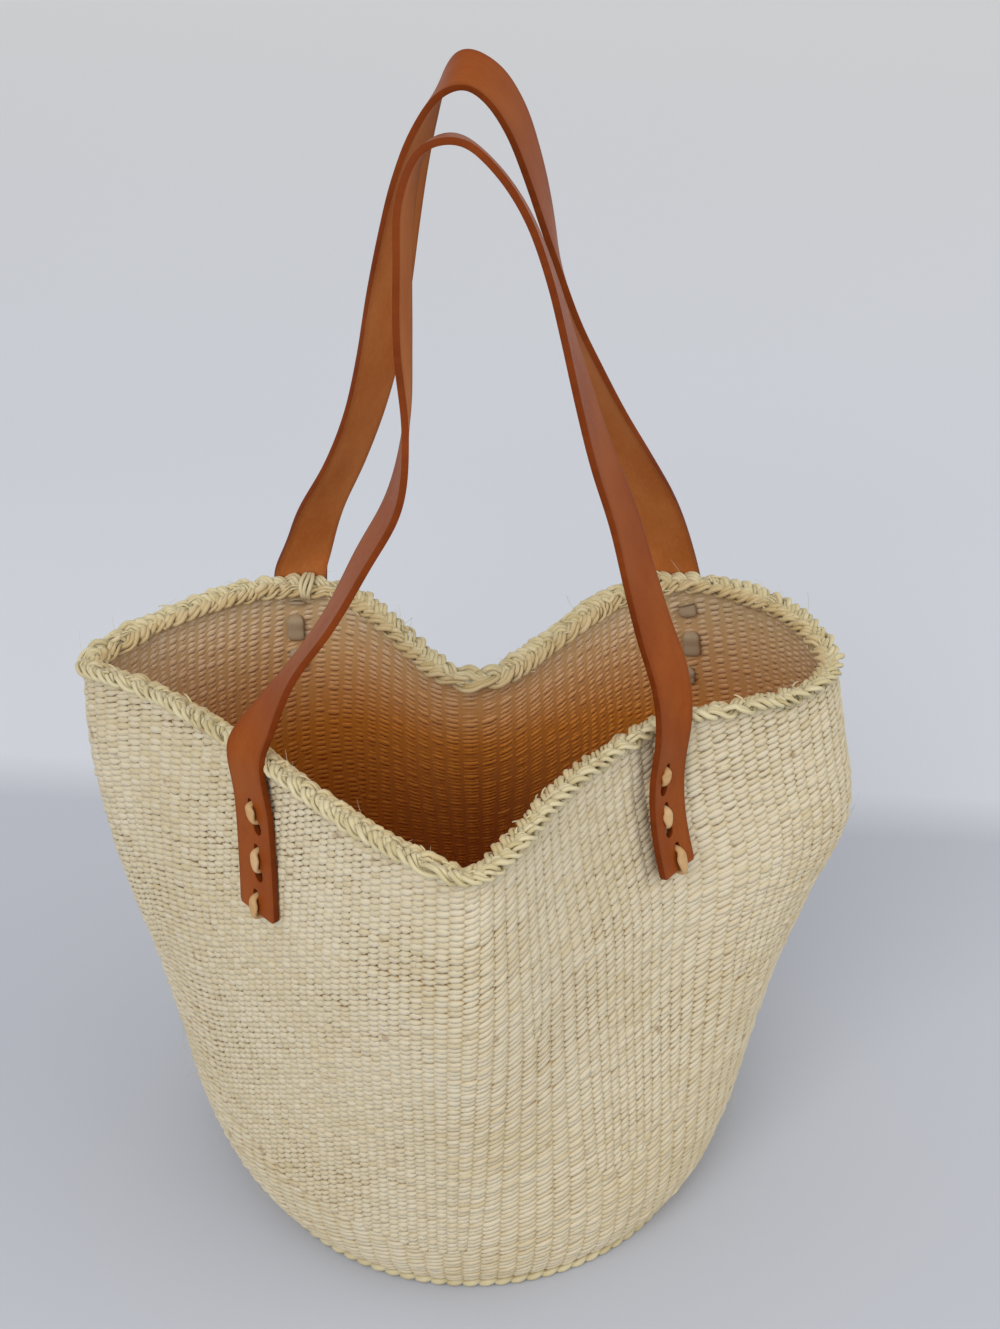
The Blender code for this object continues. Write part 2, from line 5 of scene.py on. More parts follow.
import bpy
import numpy as np
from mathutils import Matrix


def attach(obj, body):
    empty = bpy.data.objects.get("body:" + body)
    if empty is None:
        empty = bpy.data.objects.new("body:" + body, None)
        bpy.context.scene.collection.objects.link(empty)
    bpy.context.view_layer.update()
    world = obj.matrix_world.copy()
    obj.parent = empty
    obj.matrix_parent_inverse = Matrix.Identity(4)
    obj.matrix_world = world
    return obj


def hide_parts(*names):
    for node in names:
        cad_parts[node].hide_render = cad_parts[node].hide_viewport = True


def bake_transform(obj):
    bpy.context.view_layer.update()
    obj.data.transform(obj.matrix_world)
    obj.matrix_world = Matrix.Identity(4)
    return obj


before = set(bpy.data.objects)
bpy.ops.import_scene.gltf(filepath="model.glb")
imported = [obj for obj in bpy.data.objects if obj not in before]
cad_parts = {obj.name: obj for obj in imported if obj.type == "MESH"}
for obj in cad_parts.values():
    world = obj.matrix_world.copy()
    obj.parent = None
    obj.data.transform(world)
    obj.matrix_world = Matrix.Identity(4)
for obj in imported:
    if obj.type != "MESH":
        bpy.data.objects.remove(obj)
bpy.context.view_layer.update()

# Camera
# It looks down on the basket from in front, a little above the handles, as someone standing at
# a table does.
MM = 0.001
view = bpy.data.cameras.new("view")
view.sensor_fit = "HORIZONTAL"
view.sensor_width = 36.0
view.lens = 72.0
camera = bpy.data.objects.new("view", view)
camera.location = (14.0 * MM, -789.6 * MM, 782.4 * MM)
camera.rotation_euler = (math.radians(58.0), 0.0, 0.0)
bpy.context.scene.collection.objects.link(camera)
bpy.context.scene.camera = camera


# Woven base
# The base is started at its middle and twined outwards, row by row: two sisal cords pass on
# either side of each rib and cross between the ribs. New ribs are laid in as the round grows.
random = np.random.default_rng(7)
BASE_RADIUS = 115 * MM
BASE_MARGIN = 5 * MM
BASE_MIDDLE_HEIGHT = 2.5 * MM
ROW_PITCH = 3.6 * MM
# The first rows by radius in millimetres and number of ribs, then the ribs out to a radius
BASE_RINGS = ((6.0, 8), (9.5, 8), (13.0, 12), (16.5, 12), (20.0, 18), (23.5, 18), (27.0, 18))
BASE_OUTER_RIBS = ((40.0, 28), (54.0, 40), (71.0, 54), (90.0, 72), (200.0, 92))
# The two cords: how far they swing and rise, then half their width over a rib and in a gap,
# and half their thickness
BASE_TWINE = (1.35 * MM, 0.8 * MM, 1.95 * MM, 1.2 * MM, 1.1 * MM)
BASE_STEPS = 5
BASE_SHADES = 0.22
KNOT_RADIUS, KNOT_WAVE = 4.2 * MM, 0.4 * MM
KNOT_TURN, KNOT_CLOSING = 5 * math.pi, 18
CORD_SIDES, CORD_FULLNESS, CORD_FLATNESS = 6, 0.65, 0.38
SHADE_STATIONS = 5
# The dip tone is a painted shade, darkening the crevices where the cords cross
EVEN_TONE, PAINTED_DIP_SHADE = 0.2, 0.45


def unit(vectors):
    """Vectors of length one, along the last axis."""
    return vectors / np.maximum(np.linalg.norm(vectors, axis=-1, keepdims=True), 1e-12)


def cord_rings(path, across, facing, wide, thick, sides, fullness=1.0):
    """The surface of a cord of oval section. Round each place of the path lies a ring: the
    place, plus across times wide times the cosine, plus facing times thick times the sine. A
    fullness below 1 raises both to that power, which squares the oval off."""
    phase = np.linspace(0, 2 * math.pi, sides, endpoint=False) + math.pi / sides
    cosine = np.sign(np.cos(phase)) * np.abs(np.cos(phase)) ** fullness
    sine = np.sign(np.sin(phase)) * np.abs(np.sin(phase)) ** fullness
    wide = np.broadcast_to(wide, path.shape[:-1])[..., None] * cosine
    thick = np.broadcast_to(thick, path.shape[:-1])[..., None] * sine
    return (
        path[..., None, :]
        + across[..., None, :] * wide[..., None]
        + facing[..., None, :] * thick[..., None]
    )


def add_mesh(name, places, quads, uv, materials, marks):
    """One object from whole arrays: places, quads of place numbers, a UV pair for each corner
    of each quad, and marks, which are named numbers held at each place."""
    mesh = bpy.data.meshes.new(name)
    mesh.vertices.add(len(places))
    mesh.vertices.foreach_set("co", np.ascontiguousarray(places, np.float32).ravel())
    mesh.loops.add(quads.size)
    mesh.loops.foreach_set("vertex_index", np.ascontiguousarray(quads, np.int32).ravel())
    mesh.polygons.add(len(quads))
    mesh.polygons.foreach_set("loop_start", np.arange(0, quads.size, 4, dtype=np.int32))
    mesh.polygons.foreach_set("use_smooth", np.ones(len(quads), bool))
    mesh.update(calc_edges=True)
    layer = mesh.uv_layers.new(name="length_and_width")
    layer.data.foreach_set("uv", np.ascontiguousarray(uv, np.float32).ravel())
    for mark, values in marks.items():
        attribute = mesh.attributes.new(mark, "FLOAT", "POINT")
        attribute.data.foreach_set("value", np.ascontiguousarray(values, np.float32).ravel())
    for material in materials:
        mesh.materials.append(material)
    item = bpy.data.objects.new(name, mesh)
    bpy.context.scene.collection.objects.link(item)
    return item


def add_cords(name, rings, closed, material, **marks):
    """One object from cords, given as rings of places: cord by station by side. A closed cord
    joins its own start, and an open one is capped. The UV runs along and round the cord, in
    metres."""
    cords, stations, sides = rings.shape[:3]
    number = np.arange(cords * stations * sides).reshape(cords, stations, sides)
    here = number if closed else number[:, :-1]
    ahead = np.roll(number, -1, axis=1) if closed else number[:, 1:]
    quads = np.stack([here, ahead, np.roll(ahead, -1, axis=2), np.roll(here, -1, axis=2)], axis=-1)
    middle = rings.mean(axis=2)
    steps = np.linalg.norm(np.roll(middle, -1, axis=1) - middle, axis=-1)
    along = np.concatenate([np.zeros((cords, 1)), np.cumsum(steps, axis=1)], axis=1)
    start, stop = along[:, : here.shape[1], None], along[:, 1 : here.shape[1] + 1, None]
    edge = np.linalg.norm(rings[:, :, 1] - rings[:, :, 0], axis=-1).mean()
    low = np.arange(sides) * edge + 0 * start
    start, stop = start + 0 * low, stop + 0 * low
    uv = np.stack(
        [
            np.stack([start, low], axis=-1),
            np.stack([stop, low], axis=-1),
            np.stack([stop, low + edge], axis=-1),
            np.stack([start, low + edge], axis=-1),
        ],
        axis=-2,
    )
    quads, uv = quads.reshape(-1, 4), uv.reshape(-1, 4, 2)
    if not closed:
        turn = np.arange(1, sides - 2, 2)
        fan = np.stack([0 * turn, turn, turn + 1, turn + 2], axis=-1)
        first = number[:, 0][:, fan].reshape(-1, 4)[:, ::-1]
        last = number[:, -1][:, fan].reshape(-1, 4)
        caps = np.concatenate([first, last])
        quads = np.concatenate([quads, caps])
        uv = np.concatenate([uv, np.zeros((len(caps), 4, 2))])
    forward = rings[0, 1, 0] - rings[0, 0, 0]
    turning = rings[0, 0, 1] - rings[0, 0, 0]
    if np.dot(np.cross(forward, turning), rings[0, 0, 0] - middle[0, 0]) < 0:
        quads, uv = quads[:, ::-1], uv[:, ::-1]
    return add_mesh(name, rings.reshape(-1, 3), quads, uv, [material], marks)


def twined_pair(place, upward, outward, rib, swing, rise, wide, narrow, thick):
    """Two cords twined about the ribs. At rib number r the first cord lies swing times the
    cosine of pi r out of the middle surface, and rise times the sine of pi r up it; the second
    lies opposite. So each passes in front of one rib, crosses its partner in the gap, and
    passes behind the next. The cosine is flattened, so that the cord lies flat over a rib, and
    the cord is wide there and narrow in the gap. Gives the rings of both cords, and how far
    each station is from a crossing."""
    phase = math.pi * (rib + np.array([[0.0], [1.0]]))
    bow = np.cos(phase)
    flattened = np.sign(bow) * np.abs(bow) ** CORD_FLATNESS
    centre = place + outward * (swing * flattened)[..., None]
    centre = centre + upward * (rise * np.sin(phase))[..., None]
    forward = unit(np.gradient(centre, axis=1))
    across = unit(np.cross(outward, forward))
    facing = np.cross(forward, across)
    half = narrow + (wide - narrow) * np.abs(bow)
    return cord_rings(centre, across, facing, half, thick, CORD_SIDES, CORD_FULLNESS), np.abs(bow)


def new_group(name, inputs):
    """A shader node group that takes named inputs and gives a colour, a roughness and a height.
    It comes with the sockets of its input node, and of its output node."""
    group = bpy.data.node_groups.new(name, "ShaderNodeTree")
    outputs = (("Colour", "Color"), ("Roughness", "Float"), ("Height", "Float"))
    for way, sockets in (("INPUT", inputs), ("OUTPUT", outputs)):
        for label, kind in sockets:
            group.interface.new_socket(name=label, in_out=way, socket_type="NodeSocket" + kind)
    start, stop = group.nodes.new("NodeGroupInput"), group.nodes.new("NodeGroupOutput")
    return group, start.outputs, stop.inputs


def add_noise(tree, vector, scale, detail=2.0, stretch=None):
    """A noise texture on a vector, which may first be stretched along each axis."""
    if stretch is not None:
        mapping = tree.nodes.new("ShaderNodeMapping")
        mapping.inputs["Scale"].default_value = stretch
        tree.links.new(vector, mapping.inputs["Vector"])
        vector = mapping.outputs["Vector"]
    noise = tree.nodes.new("ShaderNodeTexNoise")
    noise.inputs["Scale"].default_value = scale
    noise.inputs["Detail"].default_value = detail
    tree.links.new(vector, noise.inputs["Vector"])
    return noise.outputs["Fac"]


def add_range(tree, value, low, high, to_low, to_high):
    """A value carried from one range to another, and held inside it."""
    node = tree.nodes.new("ShaderNodeMapRange")
    for socket, number in zip(node.inputs[1:5], (low, high, to_low, to_high)):
        socket.default_value = number
    tree.links.new(value, node.inputs["Value"])
    return node.outputs["Result"]


def give(tree, socket, given):
    """Feed a socket from another socket, or set it to plain numbers."""
    if isinstance(given, bpy.types.NodeSocket):
        tree.links.new(given, socket)
    else:
        socket.default_value = given


def add_mix(tree, factor, first, second):
    """Two colours mixed by a factor. A colour or a factor may be a socket or plain numbers."""
    node = tree.nodes.new("ShaderNodeMix")
    node.data_type = "RGBA"
    for number, given in ((0, factor), (6, first), (7, second)):
        give(tree, node.inputs[number], given)
    return node.outputs[2]


def add_sum(tree, first, second, operation="ADD"):
    """Two values added or multiplied, or the first made positive."""
    node = tree.nodes.new("ShaderNodeMath")
    node.operation = operation
    give(tree, node.inputs[0], first)
    give(tree, node.inputs[1], second)
    return node.outputs[0]


fibre, fibre_in, fibre_out = new_group(
    "Sisal fibre",
    (
        ("Cord", "Vector"), ("Place", "Vector"), ("Tone", "Float"), ("Inside", "Float"),
        ("Pale", "Color"), ("Straw", "Color"), ("Painted_Shade_Glow", "Color"),
    ),
)
strands = add_noise(fibre, fibre_in["Cord"], 1.0, 3.0, (160.0, 2600.0, 1.0))
patches = add_noise(fibre, fibre_in["Place"], 14.0, 3.0)
flecks = add_noise(fibre, fibre_in["Place"], 95.0, 1.0)
yellowing = add_range(fibre, patches, 0.35, 0.65, -0.15, 0.25)
streaks = add_range(fibre, strands, 0.3, 0.7, -0.3, 0.35)
amount = add_sum(fibre, add_sum(fibre, fibre_in["Tone"], yellowing), streaks)
cord_colour = add_mix(fibre, amount, fibre_in["Pale"], fibre_in["Straw"])
brown = add_range(fibre, flecks, 0.72, 0.80, 0.0, 0.55)
cord_colour = add_mix(fibre, brown, cord_colour, (0.25, 0.13, 0.05, 1.0))
# Painted shade and warm glow: within the basket the colour runs to a dark orange-brown, standing in
# for the shade there and the light bounced about in it
cord_colour = add_mix(fibre, fibre_in["Inside"], cord_colour, fibre_in["Painted_Shade_Glow"])
fibre.links.new(cord_colour, fibre_out["Colour"])
fibre.links.new(add_range(fibre, strands, 0.3, 0.7, 0.68, 0.5), fibre_out["Roughness"])
fibre.links.new(strands, fibre_out["Height"])


def group_material(name, group, along, marks, relief, depth):
    """A material drawn by a node group. The UV feeds the socket called along, each mark feeds
    the socket of its name, and the group's height is a bump of a depth, at a relief. Gives the
    material, its nodes, its shader and the group's node."""
    material = bpy.data.materials.new(name)
    material.use_nodes = True
    tree = material.node_tree
    shader = tree.nodes["Principled BSDF"]
    drawn = tree.nodes.new("ShaderNodeGroup")
    drawn.node_tree = group
    length = tree.nodes.new("ShaderNodeUVMap")
    length.uv_map = "length_and_width"
    tree.links.new(length.outputs["UV"], drawn.inputs[along])
    for label in marks:
        mark = tree.nodes.new("ShaderNodeAttribute")
        mark.attribute_name = label
        tree.links.new(mark.outputs["Fac"], drawn.inputs[label.title()])
    bump = tree.nodes.new("ShaderNodeBump")
    bump.inputs["Strength"].default_value = relief
    bump.inputs["Distance"].default_value = depth
    tree.links.new(drawn.outputs["Height"], bump.inputs["Height"])
    tree.links.new(drawn.outputs["Colour"], shader.inputs["Base Color"])
    tree.links.new(drawn.outputs["Roughness"], shader.inputs["Roughness"])
    tree.links.new(bump.outputs["Normal"], shader.inputs["Normal"])
    return material, tree, shader, drawn


def sisal_material(name, pale, straw, painted_shade_glow):
    """Sisal cord: pale cream running to straw along its fibres, with a few brown flecks. Within the
    basket a third colour, a dark orange-brown, is mixed in as painted shade and warm glow."""
    material, tree, shader, cord = group_material(
        name, fibre, "Cord", ("tone", "inside"), 0.5, 0.25 * MM
    )
    place = tree.nodes.new("ShaderNodeTexCoord")
    tree.links.new(place.outputs["Object"], cord.inputs["Place"])
    for label, colour in (("Pale", pale), ("Straw", straw), ("Painted_Shade_Glow", painted_shade_glow)):
        cord.inputs[label].default_value = (*colour, 1.0)
    shader.inputs["Specular IOR Level"].default_value = 0.35
    shader.inputs["Sheen Weight"].default_value = 0.08
    return material


# The third colour is painted shade and warm glow for the basket's interior
sisal = sisal_material("sisal_cord", (0.62, 0.54, 0.385), (0.52, 0.42, 0.24), (0.60, 0.22, 0.020))


def cord_tone(rings, from_crossing, spread):
    """How straw-coloured each place is: an even tone, plus each stitch's own random shade, plus a
    painted shade, the dip tone times the square of its nearness to a crossing, where the cord dips."""
    cords, stations, sides = rings.shape[:3]
    shades = max(2, stations // SHADE_STATIONS)
    shade = random.normal(0.0, spread, (cords, shades))
    position = np.linspace(0, shades - 1, stations)
    tone = np.stack([np.interp(position, np.arange(shades), row) for row in shade])
    tone = EVEN_TONE + tone + PAINTED_DIP_SHADE * (1 - from_crossing) ** 2
    return np.repeat(tone[..., None], sides, axis=2)


def closed_row(radius, height, ribs, steps, flat, twine):
    """One closed row, a circle with a number of stations from rib to rib: the two cords' rings,
    and how far each station is from a crossing. A flat row climbs outwards and shows its outer
    side below. Two stations are worked out past either end and dropped."""
    rib = np.arange(-2, ribs * steps + 2) / steps
    angle = 2 * math.pi * rib / ribs
    outward = np.stack([np.cos(angle), np.sin(angle), 0 * angle], axis=-1)
    place = outward * radius + np.array([0.0, 0.0, height])
    upright = np.broadcast_to([0.0, 0.0, 1.0], place.shape)
    facing = (outward, -upright) if flat else (upright, outward)
    rings, gap = twined_pair(place, *facing, rib, *twine)
    return rings[:, 2:-2], gap[:, 2:-2]


def looking_up(rings):
    """How far a place of the base is on its upper side, from 0 at the middle to 1 a millimetre
    above it."""
    return np.clip((rings[..., 2] - BASE_MIDDLE_HEIGHT) / MM, 0, 1)


base_rows = list(BASE_RINGS)
radius = BASE_RINGS[-1][0] + ROW_PITCH / MM
while radius < (BASE_RADIUS - BASE_MARGIN) / MM:
    base_rows.append((radius, next(ribs for limit, ribs in BASE_OUTER_RIBS if radius < limit)))
    radius += ROW_PITCH / MM
base_parts = []
# The base's upper side, within the basket, takes the painted shade and warm glow
for number, (radius, ribs) in enumerate(base_rows):
    rings, gap = closed_row(radius * MM, BASE_MIDDLE_HEIGHT, ribs, BASE_STEPS, True, BASE_TWINE)
    tone = cord_tone(rings, gap, BASE_SHADES)
    row = add_cords(f"base_row_{number}", rings, True, sisal, tone=tone, inside=looking_up(rings))
    base_parts.append(row)
with bpy.context.temp_override(active_object=base_parts[0], selected_editable_objects=base_parts):
    bpy.ops.object.join()
base = base_parts[0]
base.name = "twined_base"
# The starting knot is a spiral: its radius shrinks evenly as it turns, and it waves up and down
knot_angle = np.linspace(0, KNOT_TURN, 60)
knot_radius = KNOT_RADIUS * (1 - knot_angle / KNOT_CLOSING)
knot_height = BASE_MIDDLE_HEIGHT + KNOT_WAVE * np.sin(2 * knot_angle)
start_knot = np.stack(
    [knot_radius * np.cos(knot_angle), knot_radius * np.sin(knot_angle), knot_height], axis=-1
)[None]
knot_forward = unit(np.gradient(start_knot, axis=1))
knot_side = unit(np.cross([0.0, 0.0, 1.0], knot_forward))
knot_facing = np.cross(knot_forward, knot_side)
knot_rings = cord_rings(start_knot, knot_side, knot_facing, 1.3 * MM, 1.9 * MM, CORD_SIDES)
knot_tone = np.full(knot_rings.shape[:3], 0.4)
# The knot's upper side takes the painted shade and warm glow as well
base_knot = add_cords(
    "base_starting_knot", knot_rings, False, sisal, tone=knot_tone, inside=looking_up(knot_rings)
)
for piece in (base, base_knot):
    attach(piece, "basket")
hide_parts("woven_base")

# Ridge row
# Where the wall turns up from the base, one row is twined with doubled cords. It stands out as
# a ridge, with a dark hole under each rib, and takes the wear of the floor.
START_RIBS = 92
RIDGE_RADIUS = 113.6 * MM
RIDGE_HALF_HEIGHT = 3.0 * MM
RIDGE_TWINE = (2.2 * MM, 0.9 * MM, 2.1 * MM, 1.3 * MM, 2.0 * MM)
RIDGE_STEPS = 6
RIDGE_INNER_EDGE = RIDGE_RADIUS + 1.0 * MM
WALL_SHADES = 0.2
# Its third colour is painted shade and warm glow for the basket's interior
rim_sisal = sisal_material(
    "rim_sisal_cord", (0.60, 0.52, 0.32), (0.46, 0.37, 0.18), (0.50, 0.28, 0.10)
)
ridge_rings, ridge_gap = closed_row(
    RIDGE_RADIUS, RIDGE_HALF_HEIGHT, START_RIBS, RIDGE_STEPS, False, RIDGE_TWINE
)
ridge_tone = cord_tone(ridge_rings, ridge_gap, WALL_SHADES)
# The ridge's inner side takes the painted shade and warm glow of the basket's interior
ridge_painted_shade = (RIDGE_INNER_EDGE - np.linalg.norm(ridge_rings[..., :2], axis=-1)) / MM
ridge = add_cords(
    "ridge_row", ridge_rings, True, rim_sisal,
    tone=ridge_tone, inside=np.clip(ridge_painted_shade, 0, 1),
)
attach(ridge, "basket")
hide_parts("base_ridge")

# Wall
# The wall is twined upwards in one long spiral of two sisal cords about upright ribs. It opens
# from the round base into a mouth like a heart, pressed in behind, with a belly on the way.
WALL_HEIGHT = 293 * MM
MOUTH_HALF_WIDTH = 180 * MM
BELLY = 16 * MM
BELLY_DEPTH = 0.45
WALL_THICKNESS = 5 * MM
PLAIT_HEIGHT = 10 * MM
WALL_FOOT = 6.3 * MM
WALL_ROWS = 86
WALL_PIECES = 6
RIB_GAP = 9.2 * MM
RIB_PULL = 0.22
NEAR_ANGLE, NEAR_LEVEL = 0.02, 0.01
DEPTH_FROM, SHELTER_MIDDLE, SHELTER_WIDTH = 0.97, 14 * MM, 105 * MM
WALL_SWING, WALL_RISE = 1.0 * MM, 1.0 * MM
STITCH_STATIONS = np.array([0.0, 0.34, 0.5, 0.66])
MOUTH_OUTLINE = (
    (0.02, -0.875, 0.99), (0.12, -0.77, 1.0), (0.21, -0.60, 1.0), (0.33, -0.43, 1.0),
    (0.48, -0.285, 1.0), (0.66, -0.215, 1.0), (0.81, -0.15, 0.995), (0.925, -0.04, 0.99),
    (0.955, 0.10, 0.985), (0.89, 0.28, 0.99), (0.75, 0.41, 0.995), (0.56, 0.45, 1.0),
    (0.38, 0.37, 0.995), (0.22, 0.235, 0.97), (0.09, 0.14, 0.94), (0.0, 0.11, 0.935),
    (-0.09, 0.155, 0.945), (-0.20, 0.27, 0.975), (-0.32, 0.38, 0.995), (-0.47, 0.43, 1.0),
    (-0.66, 0.38, 1.0), (-0.87, 0.26, 0.985), (-1.01, 0.10, 0.975), (-0.985, 0.005, 0.985),
    (-0.84, -0.10, 0.995), (-0.68, -0.25, 1.0), (-0.53, -0.40, 1.0), (-0.40, -0.545, 1.0),
    (-0.26, -0.70, 1.0), (-0.10, -0.83, 0.995),
)
CLEFT_NUMBER = 15
MOUTH_STEPS = 12
# By level up the wall: how far its plan has turned from the base's circle into the mouth, and
# how far it bellies out, on the left and on the right
LEVELS = (0.0, 0.04, 0.12, 0.25, 0.40, 0.55, 0.70, 0.85, 1.0)
LEFT_TURN = (0.0, 0.06, 0.17, 0.31, 0.46, 0.62, 0.77, 0.90, 1.0)
RIGHT_TURN = (0.0, 0.03, 0.08, 0.22, 0.42, 0.68, 0.92, 1.02, 1.0)
LEFT_BELLY = (0.0, 0.66, 1.20, 1.20, 1.14, 1.13, 0.92, 0.54, 0.0)
RIGHT_BELLY = (0.0, 0.62, 1.08, 1.20, 1.17, 1.13, 1.20, 0.48, 0.0)


def spline(points, steps, closed=False):
    """A Catmull-Rom curve through points: between two of them it is the cubic that leaves and
    arrives along the line between its neighbours. An open curve carries its ends straight on."""
    if closed:
        padded = np.concatenate([points[-1:], points, points[:2]])
    else:
        start, stop = 2 * points[:1] - points[1:2], 2 * points[-1:] - points[-2:-1]
        padded = np.concatenate([start, points, stop])
    before, here, after, beyond = (padded[k : len(padded) - 3 + k, None] for k in range(4))
    t = (np.arange(steps) / steps)[None, :, None]
    curve = 0.5 * (
        2 * here
        + (after - before) * t
        + (2 * before - 5 * here + 4 * after - beyond) * t**2
        + (beyond - before + 3 * (here - after)) * t**3
    )
    curve = curve.reshape(-1, points.shape[1])
    return curve if closed else np.concatenate([curve, points[-1:]])


def cubic(x, y, slope, cell, wanted):
    """The cubic across a cell of a table that has the table's values and slopes at both ends."""
    low, width = x[cell], x[cell + 1] - x[cell]
    if y.ndim > 1:
        low, width = low[:, None], width[:, None]
    u = (wanted - low) / width
    return (
        (2 * u**3 - 3 * u**2 + 1) * y[cell]
        + (u**3 - 2 * u**2 + u) * width * slope[cell]
        + (3 * u**2 - 2 * u**3) * y[cell + 1]
        + (u**3 - u**2) * width * slope[cell + 1]
    )


def smooth_read(level, values):
    """A table read at a level of the wall, smoothly between its rows."""
    x, y = np.array(LEVELS), np.array(values)
    cell = np.clip(np.searchsorted(x, level) - 1, 0, len(x) - 2)
    return cubic(x, y, np.gradient(y, x), cell, level)


mouth = spline(np.array(MOUTH_OUTLINE), MOUTH_STEPS, closed=True)
mouth = mouth * np.array([MOUTH_HALF_WIDTH, MOUTH_HALF_WIDTH, WALL_HEIGHT])
mouth = np.concatenate([mouth, mouth[:1]])
mouth_run = np.concatenate([[0.0], np.cumsum(np.linalg.norm(np.diff(mouth, axis=0), axis=1))])
cleft_run = mouth_run[CLEFT_NUMBER * MOUTH_STEPS]
wall_top = 1 - PLAIT_HEIGHT / WALL_HEIGHT


def mouth_place(angle):
    """Where the rib at an angle of the base meets the rim. The ribs keep an even spacing along
    the rim from the front tip to the cleft, on either side."""
    turned = np.mod(angle + math.pi / 2, 2 * math.pi)
    right = turned / math.pi * cleft_run
    left = cleft_run + (turned / math.pi - 1) * (mouth_run[-1] - cleft_run)
    run = np.where(turned < math.pi, right, left)
    return np.stack([np.interp(run, mouth_run, mouth[:, k]) for k in range(3)], axis=-1)


def wall_place(angle, level):
    """The wall's outer surface, at level 0 on the base and 1 at the rim. In plan it is the
    base's circle times one less the turn, plus the mouth's outline times the turn, plus the
    belly along the radius. In height it is the level, less the rim's dip times the level
    squared."""
    angle, level = np.broadcast_arrays(np.asarray(angle, float), np.asarray(level, float))
    rim = mouth_place(angle)
    right = (1 + np.cos(angle)) / 2
    turn = smooth_read(level, LEFT_TURN) * (1 - right) + smooth_read(level, RIGHT_TURN) * right
    belly = smooth_read(level, LEFT_BELLY) * (1 - right) + smooth_read(level, RIGHT_BELLY) * right
    way = np.stack([np.cos(angle), np.sin(angle)], axis=-1)
    swell = BELLY * belly[..., None] * np.array([1.0, BELLY_DEPTH])
    plan = way * (BASE_RADIUS * (1 - turn)[..., None] + swell) + rim[..., :2] * turn[..., None]
    dip = (rim[..., 2] - WALL_HEIGHT) * np.minimum(level / wall_top, 1) ** 2
    height = WALL_HEIGHT * level + dip
    return np.concatenate([plan, height[..., None]], axis=-1)


def wall_frame(angle, level):
    """A place on the wall's outer surface, the way round the basket, the way down the wall, and
    the way out of it."""
    around = unit(wall_place(angle + NEAR_ANGLE, level) - wall_place(angle - NEAR_ANGLE, level))
    low, high = np.clip(level - NEAR_LEVEL, 0, 1), np.clip(level + NEAR_LEVEL, 0, 1)
    down = unit(wall_place(angle, low) - wall_place(angle, high))
    return wall_place(angle, level), around, down, unit(np.cross(down, around))


def depth_shade_mark(places):
    """Painted shade and warm glow, by how far down the basket a place is: a little near the rim,
    rising to 1 below, and sooner between the lobes than in them, by a bell curve of the place's
    distance across."""
    depth = DEPTH_FROM - places[..., 2] / WALL_HEIGHT
    sheltered = np.exp(-(((places[..., 0] - SHELTER_MIDDLE) / SHELTER_WIDTH) ** 2))
    return np.clip(0.12 + (2.0 + 2.4 * sheltered) * depth, 0, 1)


def inner_shade_mark(places, middle, outward):
    """The painted shade and warm glow of a place on the wall's inner side, by how far down the
    basket it is, falling to 0 on its outer side.
    """
    offset = np.sum((places - middle[..., None, :]) * outward[..., None, :], axis=-1)
    return np.clip(0.3 - offset / (1.6 * MM), 0, 1) * depth_shade_mark(places)


def stitch_angles():
    """The angle of every stitch, up the spiral. It starts at the rear with evenly spaced ribs.
    In each row a rib is laid in at the middle of the widest gaps over RIB_GAP, and every rib
    moves a little into the wider of the two gaps beside it."""
    ribs = math.pi / 2 + 2 * math.pi * np.arange(START_RIBS) / START_RIBS
    rows = []
    for row in range(WALL_ROWS):
        rows.append(ribs + 2 * math.pi * row)
        level = wall_top * (row + 1) / WALL_ROWS
        place = wall_place(ribs, level)
        gap = np.linalg.norm(np.roll(place, -1, axis=0) - place, axis=1)
        angle_gap = np.append(np.diff(ribs), ribs[0] + 2 * math.pi - ribs[-1])
        before, before_angle = np.roll(gap, 1), np.roll(angle_gap, 1)
        pull = (gap - before) / (gap + before)
        pull[0] = 0.0
        ribs = ribs + RIB_PULL * pull * np.minimum(angle_gap, before_angle)
        widest = np.argsort(gap)[-2:]
        widest = np.sort(widest[gap[widest] > RIB_GAP])
        ribs = np.insert(ribs, widest + 1, ribs[widest] + angle_gap[widest] / 2)
    return np.concatenate(rows)


knots = stitch_angles()
stitches = len(knots)
rib = (np.arange(stitches - 1)[:, None] + STITCH_STATIONS).ravel()
wall_angle = np.interp(rib, np.arange(stitches), knots)
row_share = (wall_angle - wall_angle[0]) / (2 * math.pi * WALL_ROWS)
foot_level, last_level = WALL_FOOT / WALL_HEIGHT, wall_top + 0.010
wall_level = foot_level + (last_level - foot_level) * row_share


def each_stitch(spacing=1):
    """A random number for each stitch, or each few, carried smoothly from one to the next."""
    count = stitches // spacing + 2
    return np.interp(rib, np.arange(count) * spacing, random.normal(0, 1, count))


